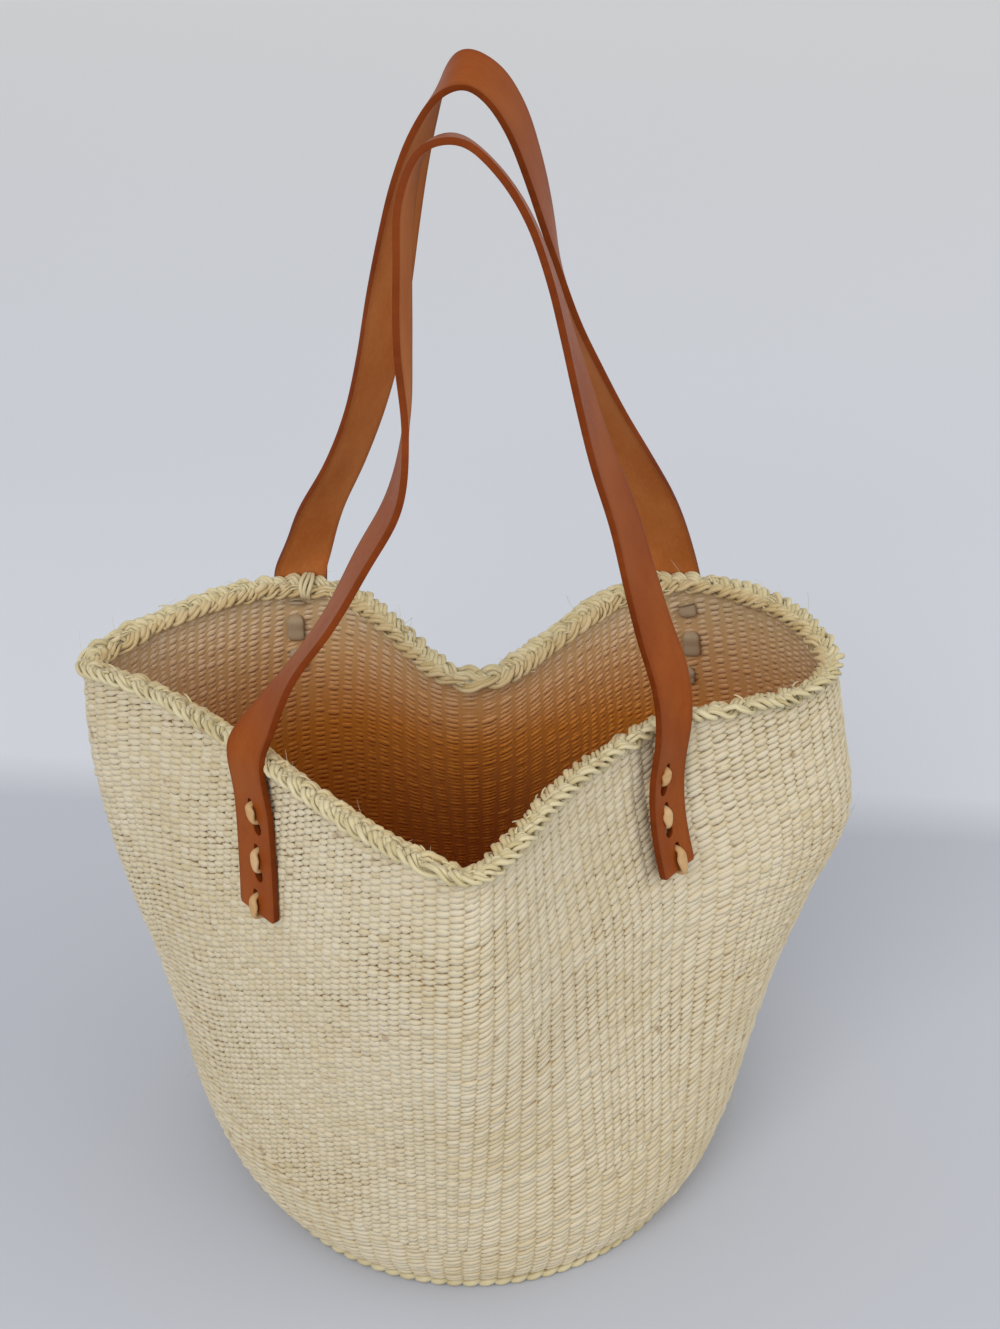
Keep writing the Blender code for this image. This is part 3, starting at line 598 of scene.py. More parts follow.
# No two stitches are alike: some lie higher, are looser or slacker, in patches more open
wander, loose, slack = each_stitch(), each_stitch(), each_stitch()
open_patch = (
    np.sin(wall_angle * 3.0 + 9 * wall_level)
    + np.sin(wall_angle * 7.0 - 17 * wall_level + 1.3)
)
outer, _, down, outward = wall_frame(wall_angle, wall_level)
wall_middle = outer - outward * (WALL_THICKNESS / 2 - (0.15 + 0.17 * wander) * MM)[:, None]
wall_middle = wall_middle - down * (0.26 * MM * loose)[:, None]
half_over_rib = (1.85 + 0.2 * loose - 0.07 * open_patch) * MM
half_in_gap = np.clip(1.1 + 0.45 * slack - 0.2 * open_patch, 0.3, 1.8) * MM
half_thickness = (1.0 + 0.08 * wander) * MM
wall_rings, wall_gap = twined_pair(
    wall_middle, -down, outward, rib, WALL_SWING, WALL_RISE,
    half_over_rib, half_in_gap, half_thickness,
)
wall_tone = cord_tone(wall_rings, wall_gap, WALL_SHADES)
# The wall's inner side takes the painted shade and warm glow, more of it lower down
wall_painted_shade = inner_shade_mark(wall_rings, wall_middle[None], outward[None])
cut = np.linspace(0, len(rib) - 1, WALL_PIECES + 1).astype(int)
for number, (start, stop) in enumerate(zip(cut[:-1], cut[1:])):
    part = slice(start, stop + 1)
    course = add_cords(
        f"wall_course_{number + 1}", wall_rings[:, part], False, sisal,
        tone=wall_tone[:, part], inside=wall_painted_shade[:, part],
    )
    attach(course, "basket")
    if number == 0:
        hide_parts("woven_wall")

# The ribs are one thin fluted sheet in the middle of the wall, a ring up its outer side and
# down its inner one
RIB_COLUMNS, RIB_LEVELS = 480, 44
RIB_SETBACK = 0.6 * MM
rib_angle = 2 * math.pi * np.arange(RIB_COLUMNS)[:, None] / RIB_COLUMNS
rib_level = np.linspace(0.011, wall_top + 0.012, RIB_LEVELS)[None, :]
outer, _, _, outward = wall_frame(rib_angle, rib_level)
flute = (0.4 + 0.3 * (np.arange(RIB_COLUMNS) % 4 == 0))[:, None, None] * MM
rib_centre = outer - outward * (WALL_THICKNESS / 2 + RIB_SETBACK)
rib_outer = rib_centre + outward * flute
rib_inner = rib_centre - outward * (RIB_SETBACK + 0.45 * flute)
rib_rings = np.concatenate([rib_outer, rib_inner[:, ::-1]], axis=1)[None]
# Painted shade: the sheet shows only in the gaps between the stitches and is coloured as their
# shade: full straw, with half the painted shade and warm glow on its outer side, and as much as its
# height gives on its inner side
rib_painted_shade = depth_shade_mark(rib_rings)
rib_painted_shade[:, :, :RIB_LEVELS] = 0.5
wall_ribs = add_cords(
    "wall_ribs", rib_rings, True, sisal,
    tone=np.full(rib_rings.shape[:3], 1.0), inside=rib_painted_shade,
)
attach(wall_ribs, "basket")

# Plaited rim
# The rib ends are gathered into three strands of three cords each and plaited round the mouth.
# The plait lies over the wall's edge, turned a little to the inside.
PLAIT_PERIODS, PLAIT_STEPS, PLAIT_SIDES = 50, 18, 7
PLAIT_TILT = math.radians(16)
PLAIT_DROP = 0.46
PLAIT_SWING, PLAIT_RISE = 3.9, 2.0
# How far aside and how far out each cord of a strand lies
CORD_STEPS = ((-1.95 * MM, -0.2 * MM), (0.0, 0.2 * MM), (1.95 * MM, -0.2 * MM))
FRAY_STEPS = 6
rim_run = np.linspace(0, mouth_run[-1], PLAIT_PERIODS * PLAIT_STEPS, endpoint=False)
rim_edge = np.stack([np.interp(rim_run, mouth_run, mouth[:, k]) for k in range(3)], axis=-1)


def closed_gradient(path):
    """The difference between the neighbours of each place, on a path that joins its start."""
    return np.roll(path, -1, axis=-2) - np.roll(path, 1, axis=-2)


def closed_smooth(path, times):
    """A path that joins its start, each place moved half way to its neighbours' middle."""
    for _ in range(times):
        path = path / 2 + (np.roll(path, 1, axis=0) + np.roll(path, -1, axis=0)) / 4
    return path


rim_edge = closed_smooth(rim_edge, 6)
rim_forward = unit(closed_gradient(rim_edge))
rim_outward = unit(np.cross(rim_forward, [0.0, 0.0, 1.0]))
rim_upward = unit(np.cross(rim_outward, rim_forward))
rim_centre = rim_edge - rim_outward * WALL_THICKNESS / 2 - rim_upward * PLAIT_HEIGHT * PLAIT_DROP
plait_wide = rim_outward * math.cos(PLAIT_TILT) + rim_upward * math.sin(PLAIT_TILT)
plait_facing = rim_upward * math.cos(PLAIT_TILT) - rim_outward * math.sin(PLAIT_TILT)
plait_pull = closed_smooth(random.normal(0, 4.5, (len(rim_run), 1)), 100)[:, 0]
plait_period = np.arange(len(rim_run)) / PLAIT_STEPS + np.arange(3)[:, None] / 3
plait_turn = 2 * math.pi * plait_period + plait_pull
plait_noise = closed_smooth(random.normal(0, 1, (len(rim_run), 1)), 3)[:, 0]
# Each strand swings from side to side once in a period, and rises and falls twice
strand = (
    rim_centre
    + plait_wide * (np.sin(plait_turn) * (PLAIT_SWING + 0.9 * plait_noise) * MM)[..., None]
    + plait_facing * (np.sin(2 * plait_turn) * PLAIT_RISE * MM)[..., None]
)
strand_forward = unit(closed_gradient(strand))
strand_side = unit(np.cross(plait_facing, strand_forward))
strand_facing = np.cross(strand_forward, strand_side)
plait_cords = np.concatenate(
    [strand + strand_side * step + strand_facing * drop for step, drop in CORD_STEPS]
)
cord_side, cord_facing = (
    np.tile(way, (len(CORD_STEPS), 1, 1)) for way in (strand_side, strand_facing)
)
cord_patches = (len(plait_cords), len(rim_run) // FRAY_STEPS)
fray = random.normal(0, 1, cord_patches)
fray = closed_smooth(np.repeat(fray, FRAY_STEPS, axis=1).T, 4).T
plait_cords = plait_cords + cord_facing * (0.5 * MM * fray)[..., None]
half_width, half_thickness = (1.12 + 0.22 * fray) * MM, (1.15 + 0.14 * fray) * MM
plait_rings = cord_rings(
    plait_cords, cord_side, cord_facing, half_width, half_thickness, PLAIT_SIDES
)
plait_shade = np.repeat(random.normal(0, 0.3, cord_patches), FRAY_STEPS, axis=1)
plait_tone = np.repeat(plait_shade[..., None], PLAIT_SIDES, axis=2) * 0.8 + 0.2
# Painted shade: towards the basket's interior the plait turns more straw-coloured and takes a
# little of the painted shade and warm glow
from_centre = plait_rings - rim_centre[None, :, None]
inward = -np.sum(from_centre * rim_outward[None, :, None], axis=-1)
plait = add_cords(
    "plaited_rim_cords", plait_rings, True, rim_sisal,
    tone=plait_tone + np.clip(inward / (12 * MM), 0, 0.4),
    inside=np.clip(inward / (14 * MM), 0, 0.3),
)
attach(plait, "basket")
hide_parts("plaited_rim")

# Frayed ends stand out of the plait: each leaves along the rim, either way, and curls back
TUFTS = 190
TUFT_WIDE, TUFT_HIGH = 5.0, 2.9
tuft_at = random.integers(0, len(rim_run), TUFTS)
tuft_turn = random.uniform(0.15, 1.2, (TUFTS, 1)) * math.pi
tuft_sideways, tuft_upwards = np.cos(tuft_turn), np.sin(tuft_turn)
tuft_up = plait_wide[tuft_at] * tuft_sideways + plait_facing[tuft_at] * tuft_upwards
tuft_foot = rim_centre[tuft_at] + (
    plait_wide[tuft_at] * tuft_sideways * TUFT_WIDE
    + plait_facing[tuft_at] * tuft_upwards * TUFT_HIGH
) * MM
tuft_way = unit(
    rim_forward[tuft_at] * random.choice([-1.0, 1.0], (TUFTS, 1))
    + tuft_up * 0.35
    + random.normal(0, 0.35, (TUFTS, 3))
)
t = np.linspace(0, 1, 5)[None, :, None]
tuft_curve = tuft_way[:, None] * t - tuft_up[:, None] * 0.35 * t**2
tufts = tuft_foot[:, None] + tuft_curve * random.uniform(3.5, 8, (TUFTS, 1, 1)) * MM
# Three turns of cord are tied over the plait, at the rear left
TIE_ANGLE = math.radians(128.5)
TIE_WIDE, TIE_HIGH = 6.9, 5.0
tie_at = np.argmin(np.linalg.norm(rim_edge - mouth_place(TIE_ANGLE), axis=1))
tie_turn = np.linspace(math.radians(48), math.radians(238), 26)[None, :, None]
tie_wave = 0.7 * np.cos(2 * tie_turn + np.arange(3)[:, None, None])
tie_step = np.array([-2.0, 0.0, 1.9])[:, None, None] + tie_wave
tie = rim_centre[tie_at] + plait_wide[tie_at] * np.cos(tie_turn) * TIE_WIDE * MM
tie = tie + plait_facing[tie_at] * np.sin(tie_turn) * TIE_HIGH * MM
tie = tie + rim_forward[tie_at] * tie_step * MM


def add_round_cords(name, paths, half, sides, material, tone, inside):
    """Open cords of round section along free paths, all in one tone."""
    forward = unit(np.gradient(paths, axis=1))
    side = unit(np.cross(forward, [0.31, 0.22, 0.92]))
    rings = cord_rings(paths, side, np.cross(forward, side), half, half, sides)
    return add_cords(
        name, rings, False, material,
        tone=np.full(rings.shape[:3], tone), inside=np.full(rings.shape[:3], inside),
    )


tuft_half = (0.6 - 0.35 * t[..., 0]) * MM
for name, paths, half in (("rim_tufts", tufts, tuft_half), ("rim_tie", tie, 1.1 * MM)):
    piece = add_round_cords(name, paths, half, 6, rim_sisal, 0.2, 0.05)
    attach(piece, "basket")

# Straps
# Each handle is one strip of thick tan leather, smooth outside and suede inside, with dark cut
# edges. Its ends lie down the outside of the wall, and are punched for their laces.
STRAP_WIDTH = 24 * MM
STRAP_THICKNESS = 3 * MM
STRAP_EASE = 0.45 * MM
STRAP_SIDE = STRAP_WIDTH / 2 - STRAP_THICKNESS / 4
STRAP_COLUMNS = 25
ROW_LENGTH = 0.9 * MM
CORNER_RADIUS, CORNER_ROWS = 1.5 * MM, 8
LACED_LENGTH = 77 * MM
END_STATIONS = 12
END_STEP = math.radians(1.2)
BEND_PASSES = 60
STEP_IN = 2.0
PLAIT_WIDTH = 10 * MM
HOLE_INNER = 0.35

grain, grain_in, grain_out = new_group(
    "Leather grain",
    (
        ("Strip", "Vector"), ("Fresh", "Color"), ("Worn", "Color"),
        ("Burnish", "Float"), ("Nap", "Float"), ("Inside", "Float"),
    ),
)
pores = grain.nodes.new("ShaderNodeTexVoronoi")
pores.inputs["Scale"].default_value = 1300.0
grain.links.new(grain_in["Strip"], pores.inputs["Vector"])
creases = add_noise(grain, grain_in["Strip"], 1.0, 5.0, (260.0, 620.0, 1.0))
clouds = add_noise(grain, grain_in["Strip"], 1.0, 3.0, (22.0, 45.0, 1.0))
strip_axes = grain.nodes.new("ShaderNodeSeparateXYZ")
grain.links.new(grain_in["Strip"], strip_axes.inputs["Vector"])
from_middle = add_sum(grain, strip_axes.outputs["Y"], 0.0, "ABSOLUTE")
border = add_range(grain, from_middle, 9.2 * MM, 11.6 * MM, 0.0, 1.0)
cloudy = add_range(grain, clouds, 0.35, 0.68, 0.0, 0.8)
wear = add_sum(grain, cloudy, add_range(grain, creases, 0.4, 0.7, -0.12, 0.2))
leather_colour = add_mix(grain, wear, grain_in["Fresh"], grain_in["Worn"])
darkening = add_sum(grain, border, grain_in["Burnish"], "MULTIPLY")
leather_colour = add_mix(grain, darkening, leather_colour, (0.075, 0.016, 0.005, 1.0))
# Painted shade: where the thong runs within the wall its colour is greyed towards a dull tan
shade_greying = add_sum(grain, grain_in["Inside"], 0.85, "MULTIPLY")
leather_colour = add_mix(grain, shade_greying, leather_colour, (0.35, 0.275, 0.19, 1.0))
grain.links.new(leather_colour, grain_out["Colour"])
rough = add_sum(grain, add_range(grain, creases, 0.3, 0.7, 0.34, 0.50), grain_in["Nap"])
grain.links.new(rough, grain_out["Roughness"])
pore_height = add_range(grain, pores.outputs["Distance"], 0.0, 0.6, 0.0, 0.5)
grain.links.new(add_sum(grain, pore_height, creases), grain_out["Height"])


def leather_material(name, fresh, worn, burnish, nap, relief):
    """Leather whose colour runs between a fresh and a worn tan, with fine creases and pores.
    Burnish darkens it towards the strip's edges, and nap roughens it."""
    material, _, shader, hide = group_material(name, grain, "Strip", ("inside",), relief, 0.15 * MM)
    hide.inputs["Fresh"].default_value = (*fresh, 1.0)
    hide.inputs["Worn"].default_value = (*worn, 1.0)
    hide.inputs["Burnish"].default_value = burnish
    hide.inputs["Nap"].default_value = nap
    shader.inputs["Specular IOR Level"].default_value = 0.09
    return material


strap_face = leather_material(
    "strap_smooth_side", (0.225, 0.046, 0.005), (0.29, 0.074, 0.010), 0.2, 0.0, 0.35
)
strap_flesh = leather_material(
    "strap_suede_side", (0.355, 0.103, 0.022), (0.44, 0.155, 0.042), 0.25, 0.28, 0.8
)
strap_edge = leather_material(
    "strap_cut_edge", (0.14, 0.024, 0.002), (0.21, 0.042, 0.005), 0.0, 0.15, 0.5
)
# Each handle's middle line, by how far across it is and how far up, as shares of half its span
# and of its rise, then the angles of the strap's width, round Z and up from level
FRONT_LOOP = (
    (-1.00, 0.00, -50, 0), (-0.914, 0.036, -63, -4), (-0.753, 0.131, -90, 2),
    (-0.565, 0.224, -89, 1), (-0.402, 0.329, -85, -2), (-0.262, 0.417, -83, -4),
    (-0.192, 0.543, -90, -4), (-0.191, 0.678, -99, -3), (-0.177, 0.815, -100, 0),
    (-0.15, 0.919, -103, 4), (-0.073, 0.988, -97, 9), (0.059, 1.00, -92, 14),
    (0.206, 0.957, -89, 14), (0.331, 0.89, -89, 11), (0.438, 0.787, -91, 6),
    (0.507, 0.69, -94, 0), (0.574, 0.591, -100, -1), (0.656, 0.48, -107, -1),
    (0.748, 0.378, -113, -1), (0.821, 0.27, -119, -1), (0.892, 0.17, -124, -1),
    (0.965, 0.081, -128, -1), (1.00, 0.00, -140, 0),
)
REAR_LOOP = (
    (-1.00, 0.00, 180, 0), (-0.955, 0.032, 191, -3), (-0.858, 0.142, 208, -4),
    (-0.725, 0.242, 217, -5), (-0.602, 0.362, 221, -4), (-0.522, 0.478, 219, -3),
    (-0.461, 0.604, 220, -5), (-0.405, 0.718, 227, -9), (-0.346, 0.821, 234, -13),
    (-0.268, 0.914, 244, -17), (-0.188, 0.974, 253, -22), (-0.108, 1.00, 260, -23),
    (0.012, 0.978, 261, -22), (0.119, 0.922, 257, -18), (0.207, 0.836, 258, -12),
    (0.28, 0.74, 263, -6), (0.345, 0.643, 274, -1), (0.399, 0.559, 286, 1),
    (0.487, 0.463, 301, 1), (0.603, 0.357, 315, 1), (0.733, 0.255, 330, 1),
    (0.858, 0.156, 344, 1), (0.955, 0.054, 355, 0), (1.00, 0.00, 352, 0),
)
# Each end, left and right: its lacing line in degrees (the angle at the rim, its drift, its
# curl and the turn off the wall); its holes by share of the laced length below the rim and
# millimetres aside; the thong's tail; and the share of the laced length where it is cut off
FRONT_ENDS = (
    (
        (222.0, 8.5, -3.0, 0.0),
        ((0.29, 0.2), (0.43, 3.4), (0.568, 1.8), (0.735, 2.4), (0.872, -0.4)),
        9 * MM, 1.0,
    ),
    (
        (320.8, -7.5, 4.5, -13.0),
        ((0.255, -1.8), (0.39, -3.8), (0.515, -2.1), (0.683, -1.8), (0.81, 2.0)),
        9 * MM, 0.96,
    ),
)
REAR_ENDS = (
    (
        (130.0, -2.0, 0.0, 0.0),
        ((0.175, 1.2), (0.295, 2.0), (0.455, 2.0), (0.56, 2.0), (0.68, 1.0)),
        2.5 * MM, 1.0,
    ),
    (
        (44.6, -3.5, 1.5, 0.0),
        ((0.30, -2.5), (0.45, -2.0), (0.605, -1.0), (0.735, 3.0), (0.84, 4.5)),
        8 * MM, 1.0,
    ),
)
# Small and large holes take turns down an end: half their length and half their width
SMALL_HOLE, LARGE_HOLE = (2.2 * MM, 1.9 * MM), (3.4 * MM, 2.8 * MM)


def strap_proud(depth):
    """How far a strap end stands off the wall, by its depth below the rim: it passes outside
    the plait and then comes in to the wall."""
    below_plait = np.clip((depth / PLAIT_HEIGHT - 1) / STEP_IN, 0, 1)
    return (PLAIT_WIDTH - WALL_THICKNESS) / 2 * (1 - below_plait) ** 2


def line_angle(line, share):
    """The angle round the basket of a lacing line, at a share of its length below the rim: the
    angle at the rim, plus its drift times the share, plus its curl times the share squared."""
    return np.radians(line[0] + line[1] * share + line[2] * share**2)


def stand_off(line):
    """How far a strap end lifts at its lacing line when it is turned about it, so that one edge
    stays on the wall: the tangent of the turn times half the strap's width."""
    return abs(math.tan(math.radians(line[3]))) * STRAP_SIDE


def laced_end(line, cut):
    """The middle surface of one strap end from where it is cut off below to the rim, three
    places across at each of its stations."""
    share = np.linspace(cut, 0, END_STATIONS)[:, None]
    level = 1 - share * LACED_LENGTH / WALL_HEIGHT
    middle = line_angle(line, share)
    step = wall_place(middle + END_STEP, level) - wall_place(middle - END_STEP, level)
    span = np.linalg.norm(step, axis=-1)
    columns = np.array([-STRAP_SIDE, 0.0, STRAP_SIDE])
    place, _, _, outward = wall_frame(middle + columns * 2 * END_STEP / span, level)
    lift = STRAP_EASE + STRAP_THICKNESS / 2 + strap_proud(share * LACED_LENGTH) + stand_off(line)
    lift = lift + math.tan(math.radians(line[3])) * columns
    return place + outward * lift[..., None]


def strap_sheet(table, half_span, rise, lean, ends):
    """The middle surface of a strap, three places across, from its left lower end over the
    loop to its right one. The loop stands on the line through both ends at the rim, and is
    leant over by an angle. The rows are spread evenly, and the bends smoothed."""
    left, right = (laced_end(line, cut) for line, _, _, cut in ends)
    axis = unit(right[-1, 1] - left[-1, 1])
    up = np.array([0.0, math.sin(lean), math.cos(lean)])
    up = unit(up - axis * np.dot(up, axis))
    table = np.array(table, dtype=float)
    middle = (left[-1, 1] + right[-1, 1]) / 2
    centre = middle + axis * table[:, :1] * half_span + up * table[:, 1:2] * rise
    turn, tilt = np.radians(table[:, 2]), np.radians(table[:, 3])
    level = np.cos(tilt)
    width = np.stack([np.cos(turn) * level, np.sin(turn) * level, np.sin(tilt)], axis=-1)
    forward = unit(np.gradient(centre, axis=0))
    width = unit(width - forward * np.sum(width * forward, axis=1, keepdims=True))
    columns = np.array([-STRAP_SIDE, 0.0, STRAP_SIDE])[None, :, None]
    loop = centre[:, None] + width[:, None] * columns
    if np.dot(left[-1, 2] - left[-1, 0], width[0]) < 0:
        left = left[:, ::-1]
    if np.dot(right[-1, 2] - right[-1, 0], width[-1]) < 0:
        right = right[:, ::-1]
    sheet = np.concatenate([left, loop[1:-1], right[::-1]]).reshape(-1, 9)
    steps = np.linalg.norm(np.diff(sheet[:, 3:6], axis=0), axis=1)
    run = np.concatenate([[0.0], np.cumsum(steps)])
    even = np.linspace(0, run[-1], int(round(run[-1] / ROW_LENGTH)) + 1)
    cell = np.clip(np.searchsorted(run, even) - 1, 0, len(run) - 2)
    sheet = cubic(run, sheet, np.gradient(sheet, run, axis=0), cell, even[:, None])
    for _ in range(BEND_PASSES):
        sheet[1:-1] = sheet[1:-1] / 2 + (sheet[:-2] + sheet[2:]) / 4
    return sheet.reshape(-1, 3, 3)


def sheet_place(sheet, row, across):
    """A place of the middle surface: straight between two rows, and along each row the
    parabola through its three places."""
    row = np.clip(row, 0, len(sheet) - 1.001)
    low = np.floor(row).astype(int)
    part = (row - low)[..., None, None]
    three = sheet[low] * (1 - part) + sheet[low + 1] * part
    x = (across / STRAP_SIDE)[..., None]
    left, middle, right = (three[..., column, :] for column in range(3))
    return left * x * (x - 1) / 2 + middle * (1 - x**2) + right * x * (x + 1) / 2


def build_strap(name, table, half_span, rise, lean, ends, nodes):
    """One strap: a grid over its middle surface, its corners rounded, with the laced ends'
    holes cut out by moving the nearest places on to each hole's outline, then given its
    thickness."""
    sheet = strap_sheet(table, half_span, rise, lean, ends)
    rows, columns, middle = len(sheet), STRAP_COLUMNS, STRAP_COLUMNS // 2
    end_rows = LACED_LENGTH / ROW_LENGTH
    row, across = np.meshgrid(
        np.arange(rows, dtype=float), np.linspace(-0.5, 0.5, columns) * STRAP_WIDTH, indexing="ij"
    )
    corner = np.maximum(np.abs(across) - (STRAP_WIDTH / 2 - CORNER_RADIUS), 0)
    trim = (CORNER_RADIUS - np.sqrt(CORNER_RADIUS**2 - corner**2)) / ROW_LENGTH
    at_start = np.clip(1 - row / CORNER_ROWS, 0, 1)
    at_stop = np.clip(1 - (rows - 1 - row) / CORNER_ROWS, 0, 1)
    row += trim * at_start - trim * at_stop
    kept = np.ones((rows - 1, columns - 1), bool)
    for side, (_, holes, _, cut) in enumerate(ends):
        for number, (hole, aside) in enumerate(holes):
            centre = (cut - hole) * end_rows if side == 0 else rows - 1 - (cut - hole) * end_rows
            long, wide = SMALL_HOLE if number % 2 == 0 else LARGE_HOLE
            aside = aside * MM if side == 0 else -aside * MM
            down, over = (row - centre) * ROW_LENGTH, across - aside
            reach = np.sqrt((down / long) ** 2 + (over / wide) ** 2)
            corners = reach[:-1, :-1] + reach[1:, :-1] + reach[:-1, 1:] + reach[1:, 1:]
            cell = corners / 4 < 1.0
            kept &= ~cell
            touched = np.zeros((rows, columns), bool)
            for i, j in ((0, 0), (0, 1), (1, 0), (1, 1)):
                touched[i : rows - 1 + i, j : columns - 1 + j] |= cell
            touched &= reach > HOLE_INNER
            row = np.where(touched, centre + (row - centre) / reach, row)
            across = np.where(touched, aside + over / reach, across)
    places = sheet_place(sheet, row, across)
    number = np.arange(rows * columns).reshape(rows, columns)
    quads = np.stack(
        [number[:-1, :-1], number[1:, :-1], number[1:, 1:], number[:-1, 1:]], axis=-1
    )[kept]
    steps = np.linalg.norm(np.diff(places[:, middle], axis=0), axis=1)
    along = np.concatenate([[0.0], np.cumsum(steps)])
    flat = np.stack([np.broadcast_to(along[:, None], across.shape), across], axis=-1)
    first = places[2, middle]
    normal = np.cross(places[3, middle] - first, places[2, middle + 1] - first)
    if np.dot(normal, first * np.array([1.0, 1.0, 0.0])) < 0:
        quads = quads[:, ::-1]
    used, quads = np.unique(quads, return_inverse=True)
    quads = quads.reshape(-1, 4)
    uv = flat.reshape(-1, 2)[used][quads]
    leathers = [strap_face, strap_flesh, strap_edge]
    piece = add_mesh(name, places.reshape(-1, 3)[used], quads, uv, leathers, {})
    wall = piece.modifiers.new("thickness", "SOLIDIFY")
    wall.thickness = STRAP_THICKNESS
    wall.offset = 0.0
    wall.use_even_offset = True
    wall.material_offset = 1
    wall.material_offset_rim = 2
    eased = piece.modifiers.new("eased_edges", "BEVEL")
    eased.width = 0.7 * MM
    eased.segments = 2
    eased.limit_method = "ANGLE"
    eased.angle_limit = math.radians(50)
    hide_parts(*nodes)
    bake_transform(piece)


lengths = ("left_end", "left_bend", "loop", "right_bend", "right_end")
for side, table, half_span, rise, lean, ends in (
    ("front", FRONT_LOOP, 96 * MM, 254 * MM, math.radians(12), FRONT_ENDS),
    ("rear", REAR_LOOP, 94 * MM, 265.5 * MM, math.radians(-9.7), REAR_ENDS),
):
    nodes = [f"{side}_strap_{length}" for length in lengths]
    build_strap(f"{side}_strap", table, half_span, rise, lean, ends, nodes)

# Laces
# Each strap end is sewn to the wall with one pale thong, out and in through punched holes, and
# at last over the strap's lower end. It swells between holes and is pinched in them.
THONG_HALF_THICKNESS = 1.1 * MM
THONG_SIDES, THONG_FULLNESS = 14, 0.85
# Half its width along the wall's inner side, along the outer side and in a hole
INNER_HALF, OUTER_HALF, PINCHED_HALF = 4.1 * MM, 2.8 * MM, 1.3 * MM
# It passes a hole off its middle: below a small hole's, and above a large one's
SMALL_HOLE_PASS, LARGE_HOLE_PASS = 0.8 * MM, -1.4 * MM
WRAP = 0.035
thong_leather = leather_material(
    "thong_leather", (0.47, 0.28, 0.12), (0.60, 0.40, 0.21), 0.0, 0.22, 0.5
)


def build_thong(name, line, holes, tail, cut, node):
    """One thong. Its path is a spline over places given by depth below the rim, height out of
    the wall, half width and distance aside, laid on to the wall at the strap's middle line."""
    depths = np.array([hole for hole, aside in holes] + [cut + WRAP]) * LACED_LENGTH
    depths[:-1:2] += SMALL_HOLE_PASS
    depths[1:-1:2] += LARGE_HOLE_PASS
    asides = np.array([aside for hole, aside in holes] + [holes[-1][1]]) * MM
    under = -WALL_THICKNESS - 1.3 * MM
    route = [(depths[0] - back, under, INNER_HALF, asides[0]) for back in (tail, 1.8 * MM)]
    for number, (depth, aside) in enumerate(zip(depths, asides)):
        middle = (STRAP_EASE + STRAP_THICKNESS + stand_off(line) - WALL_THICKNESS) / 2
        route.append((depth, middle, PINCHED_HALF, aside))
        if number == len(depths) - 1:
            route.append((depth + 1.0 * MM, 1.5 * MM - WALL_THICKNESS, PINCHED_HALF, aside))
            break
        top = STRAP_EASE + STRAP_THICKNESS + strap_proud(depth) + stand_off(line)
        top = top + THONG_HALF_THICKNESS + 0.1 * MM
        following, beyond = depths[number + 1], asides[number + 1]
        # Three places on the way to the next hole, outside the strap and inside the wall by
        # turns: the step from one of the holes, the share of the way, the height and half width
        if number % 2 == 0:
            places = (
                (1.2 * MM, 0.15, top - 0.1 * MM, 1.7 * MM),
                (None, 0.42, top + 0.4 * MM, OUTER_HALF),
                (-1.2 * MM, 0.85, top - 0.1 * MM, 1.4 * MM),
            )
        else:
            places = (
                (1.5 * MM, 0.1, under, 3.9 * MM),
                (None, 0.5, under - 0.2 * MM, INNER_HALF),
                (-1.5 * MM, 0.9, under, 3.9 * MM),
            )
        for step, share, height, half in places:
            if step is None:
                down = depth + (following - depth) * share
            else:
                down = (depth if step > 0 else following) + step
            route.append((down, height, half, aside + (beyond - aside) * share))
    path = spline(np.array(route), 7)
    level = 1 - path[:, 0] / WALL_HEIGHT
    place, around, _, outward = wall_frame(line_angle(line, path[:, 0] / LACED_LENGTH), level)
    centre = place + outward * path[:, 1:2] + around * path[:, 3:4]
    forward = unit(np.gradient(centre, axis=0))
    side = unit(around - forward * np.sum(around * forward, axis=1, keepdims=True))
    facing = np.cross(forward, side)
    rings = cord_rings(
        centre[None], side[None], facing[None], path[None, :, 2],
        THONG_HALF_THICKNESS, THONG_SIDES, THONG_FULLNESS,
    )
    # Painted shade greys the thong where it lies on the wall's inner side
    thong_painted_shade = np.clip((-path[:, 1] - 2 * MM) / (3 * MM), 0, 1)
    inside = np.broadcast_to(thong_painted_shade[None, :, None], rings.shape[:3])
    piece = add_cords(name, rings, False, thong_leather, inside=inside)
    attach(piece, "basket")
    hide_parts(node)


for side, ends in (("front", FRONT_ENDS), ("rear", REAR_ENDS)):
    for label, (line, holes, tail, cut) in zip(("left", "right"), ends):
        build_thong(f"{side}_{label}_thong", line, holes, tail, cut, f"{side}_{label}_lace")

# Stray fibres
# Sisal sheds: fine hairs stand out of the wall and the plait, each one curling its own way.
HAIRS = 420
RIM_SHARE = 0.45
HAIR_ROOT = 1.0
hair_angle = random.uniform(0, 2 * math.pi, HAIRS)
at_rim = random.uniform(0, 1, HAIRS) < RIM_SHARE
hair_level = np.where(at_rim, random.uniform(0.97, 1.0, HAIRS), random.uniform(0.03, 0.97, HAIRS))
hair_foot, hair_around, hair_down, hair_out = wall_frame(hair_angle, hair_level)
hair_length = random.uniform(4, 15, HAIRS)[:, None] * MM
hair_way = unit(
    hair_out * 0.5
    + hair_around * random.normal(0, 1, (HAIRS, 1))
    - hair_down * random.normal(0.2, 0.8, (HAIRS, 1))
)
hair_bend = unit(
    hair_down * random.normal(0, 1, (HAIRS, 1))
    + hair_around * random.normal(0, 1, (HAIRS, 1))
    - hair_out * 0.6
)
t = np.linspace(0, 1, 7)[None, :, None]
hair_curve = hair_way[:, None] * t + hair_bend[:, None] * 0.55 * t**2
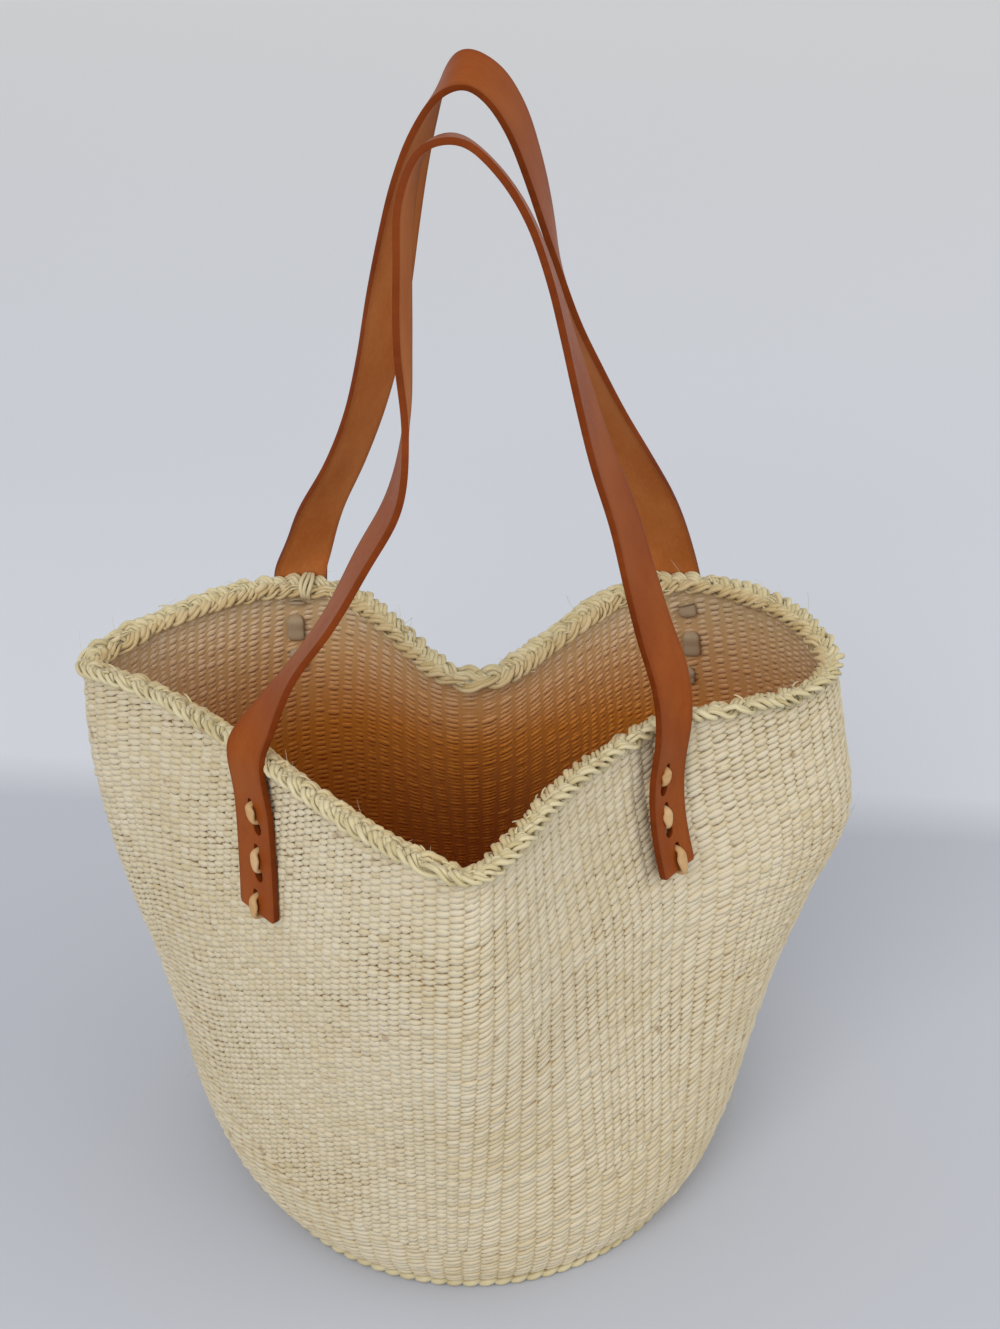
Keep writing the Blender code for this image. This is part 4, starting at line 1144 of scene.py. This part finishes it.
hairs = (hair_foot - hair_out * HAIR_ROOT * MM)[:, None] + hair_curve * hair_length[:, None]
hair_half = (0.13 - 0.08 * t[..., 0]) * MM
stray = add_round_cords("stray_fibres", hairs, hair_half, 4, sisal, 0.1, 0.0)
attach(stray, "basket")

# Floor and light
# A plain pale floor that turns a little lighter behind the basket, a painted light that stands
# in for a lit backdrop, under a soft light from the upper left and a weaker one from the right.
floor_mesh = bpy.data.meshes.new("floor")
floor_mesh.from_pydata([(-9, -9, 0), (9, -9, 0), (9, 9, 0), (-9, 9, 0)], [], [(0, 1, 2, 3)])
floor = bpy.data.objects.new("floor", floor_mesh)
bpy.context.scene.collection.objects.link(floor)
pale_floor = bpy.data.materials.new("pale_floor")
pale_floor.use_nodes = True
floor_tree = pale_floor.node_tree
floor_shader = floor_tree.nodes["Principled BSDF"]
floor_shader.inputs["Roughness"].default_value = 0.9
floor_shader.inputs["Specular IOR Level"].default_value = 0.1
floor_place = floor_tree.nodes.new("ShaderNodeTexCoord")
floor_turn = floor_tree.nodes.new("ShaderNodeMapping")
floor_turn.inputs["Location"].default_value = (0.0, -0.29, 0.0)
floor_turn.inputs["Rotation"].default_value = (0.0, 0.0, math.radians(4.5))
floor_tree.links.new(floor_place.outputs["Object"], floor_turn.inputs["Vector"])
floor_axes = floor_tree.nodes.new("ShaderNodeSeparateXYZ")
floor_tree.links.new(floor_turn.outputs["Vector"], floor_axes.inputs["Vector"])
behind, in_front, far_off = (
    add_range(floor_tree, floor_axes.outputs["Y"], start, stop, 0.0, 1.0)
    for start, stop in ((-0.02, 0.03), (-0.75, -0.35), (0.45, 2.1))
)
# Painted light: behind the basket, and more so far off, the floor is coloured lighter and warmer,
# as a lit backdrop
near_colour = add_mix(floor_tree, in_front, (0.48, 0.505, 0.575, 1.0), (0.475, 0.487, 0.53, 1.0))
far_colour = add_mix(floor_tree, far_off, (0.625, 0.638, 0.675, 1.0), (0.775, 0.757, 0.745, 1.0))
floor_colour = add_mix(floor_tree, behind, near_colour, far_colour)
floor_tree.links.new(floor_colour, floor_shader.inputs["Base Color"])
floor_mesh.materials.append(pale_floor)

world = bpy.data.worlds.new("soft_light")
bpy.context.scene.world = world
world.use_nodes = True
world.node_tree.nodes["Background"].inputs["Color"].default_value = (0.93, 0.96, 1.0, 1.0)
world.node_tree.nodes["Background"].inputs["Strength"].default_value = 0.76


def add_lamp(name, size, power, colour, place, target):
    """A soft square lamp at a place, turned to shine on a target."""
    lamp = bpy.data.lights.new(name, "AREA")
    lamp.size = size
    lamp.energy = power
    lamp.color = colour
    item = bpy.data.objects.new(name, lamp)
    bpy.context.scene.collection.objects.link(item)
    back = unit(np.array(place) - np.array(target))
    item.location = place
    item.rotation_euler = (math.acos(back[2]), 0.0, math.atan2(back[1], back[0]) + math.pi / 2)


add_lamp("key_lamp", 1.6, 34.0, (1.0, 0.985, 0.96), (-0.9, -1.9, 1.7), (0.0, 0.0, 0.2))
add_lamp("fill_lamp", 1.8, 15.5, (1.0, 0.96, 0.88), (1.9, -0.7, 1.3), (0.0, 0.0, 0.2))
bpy.context.scene.view_settings.view_transform = "Standard"
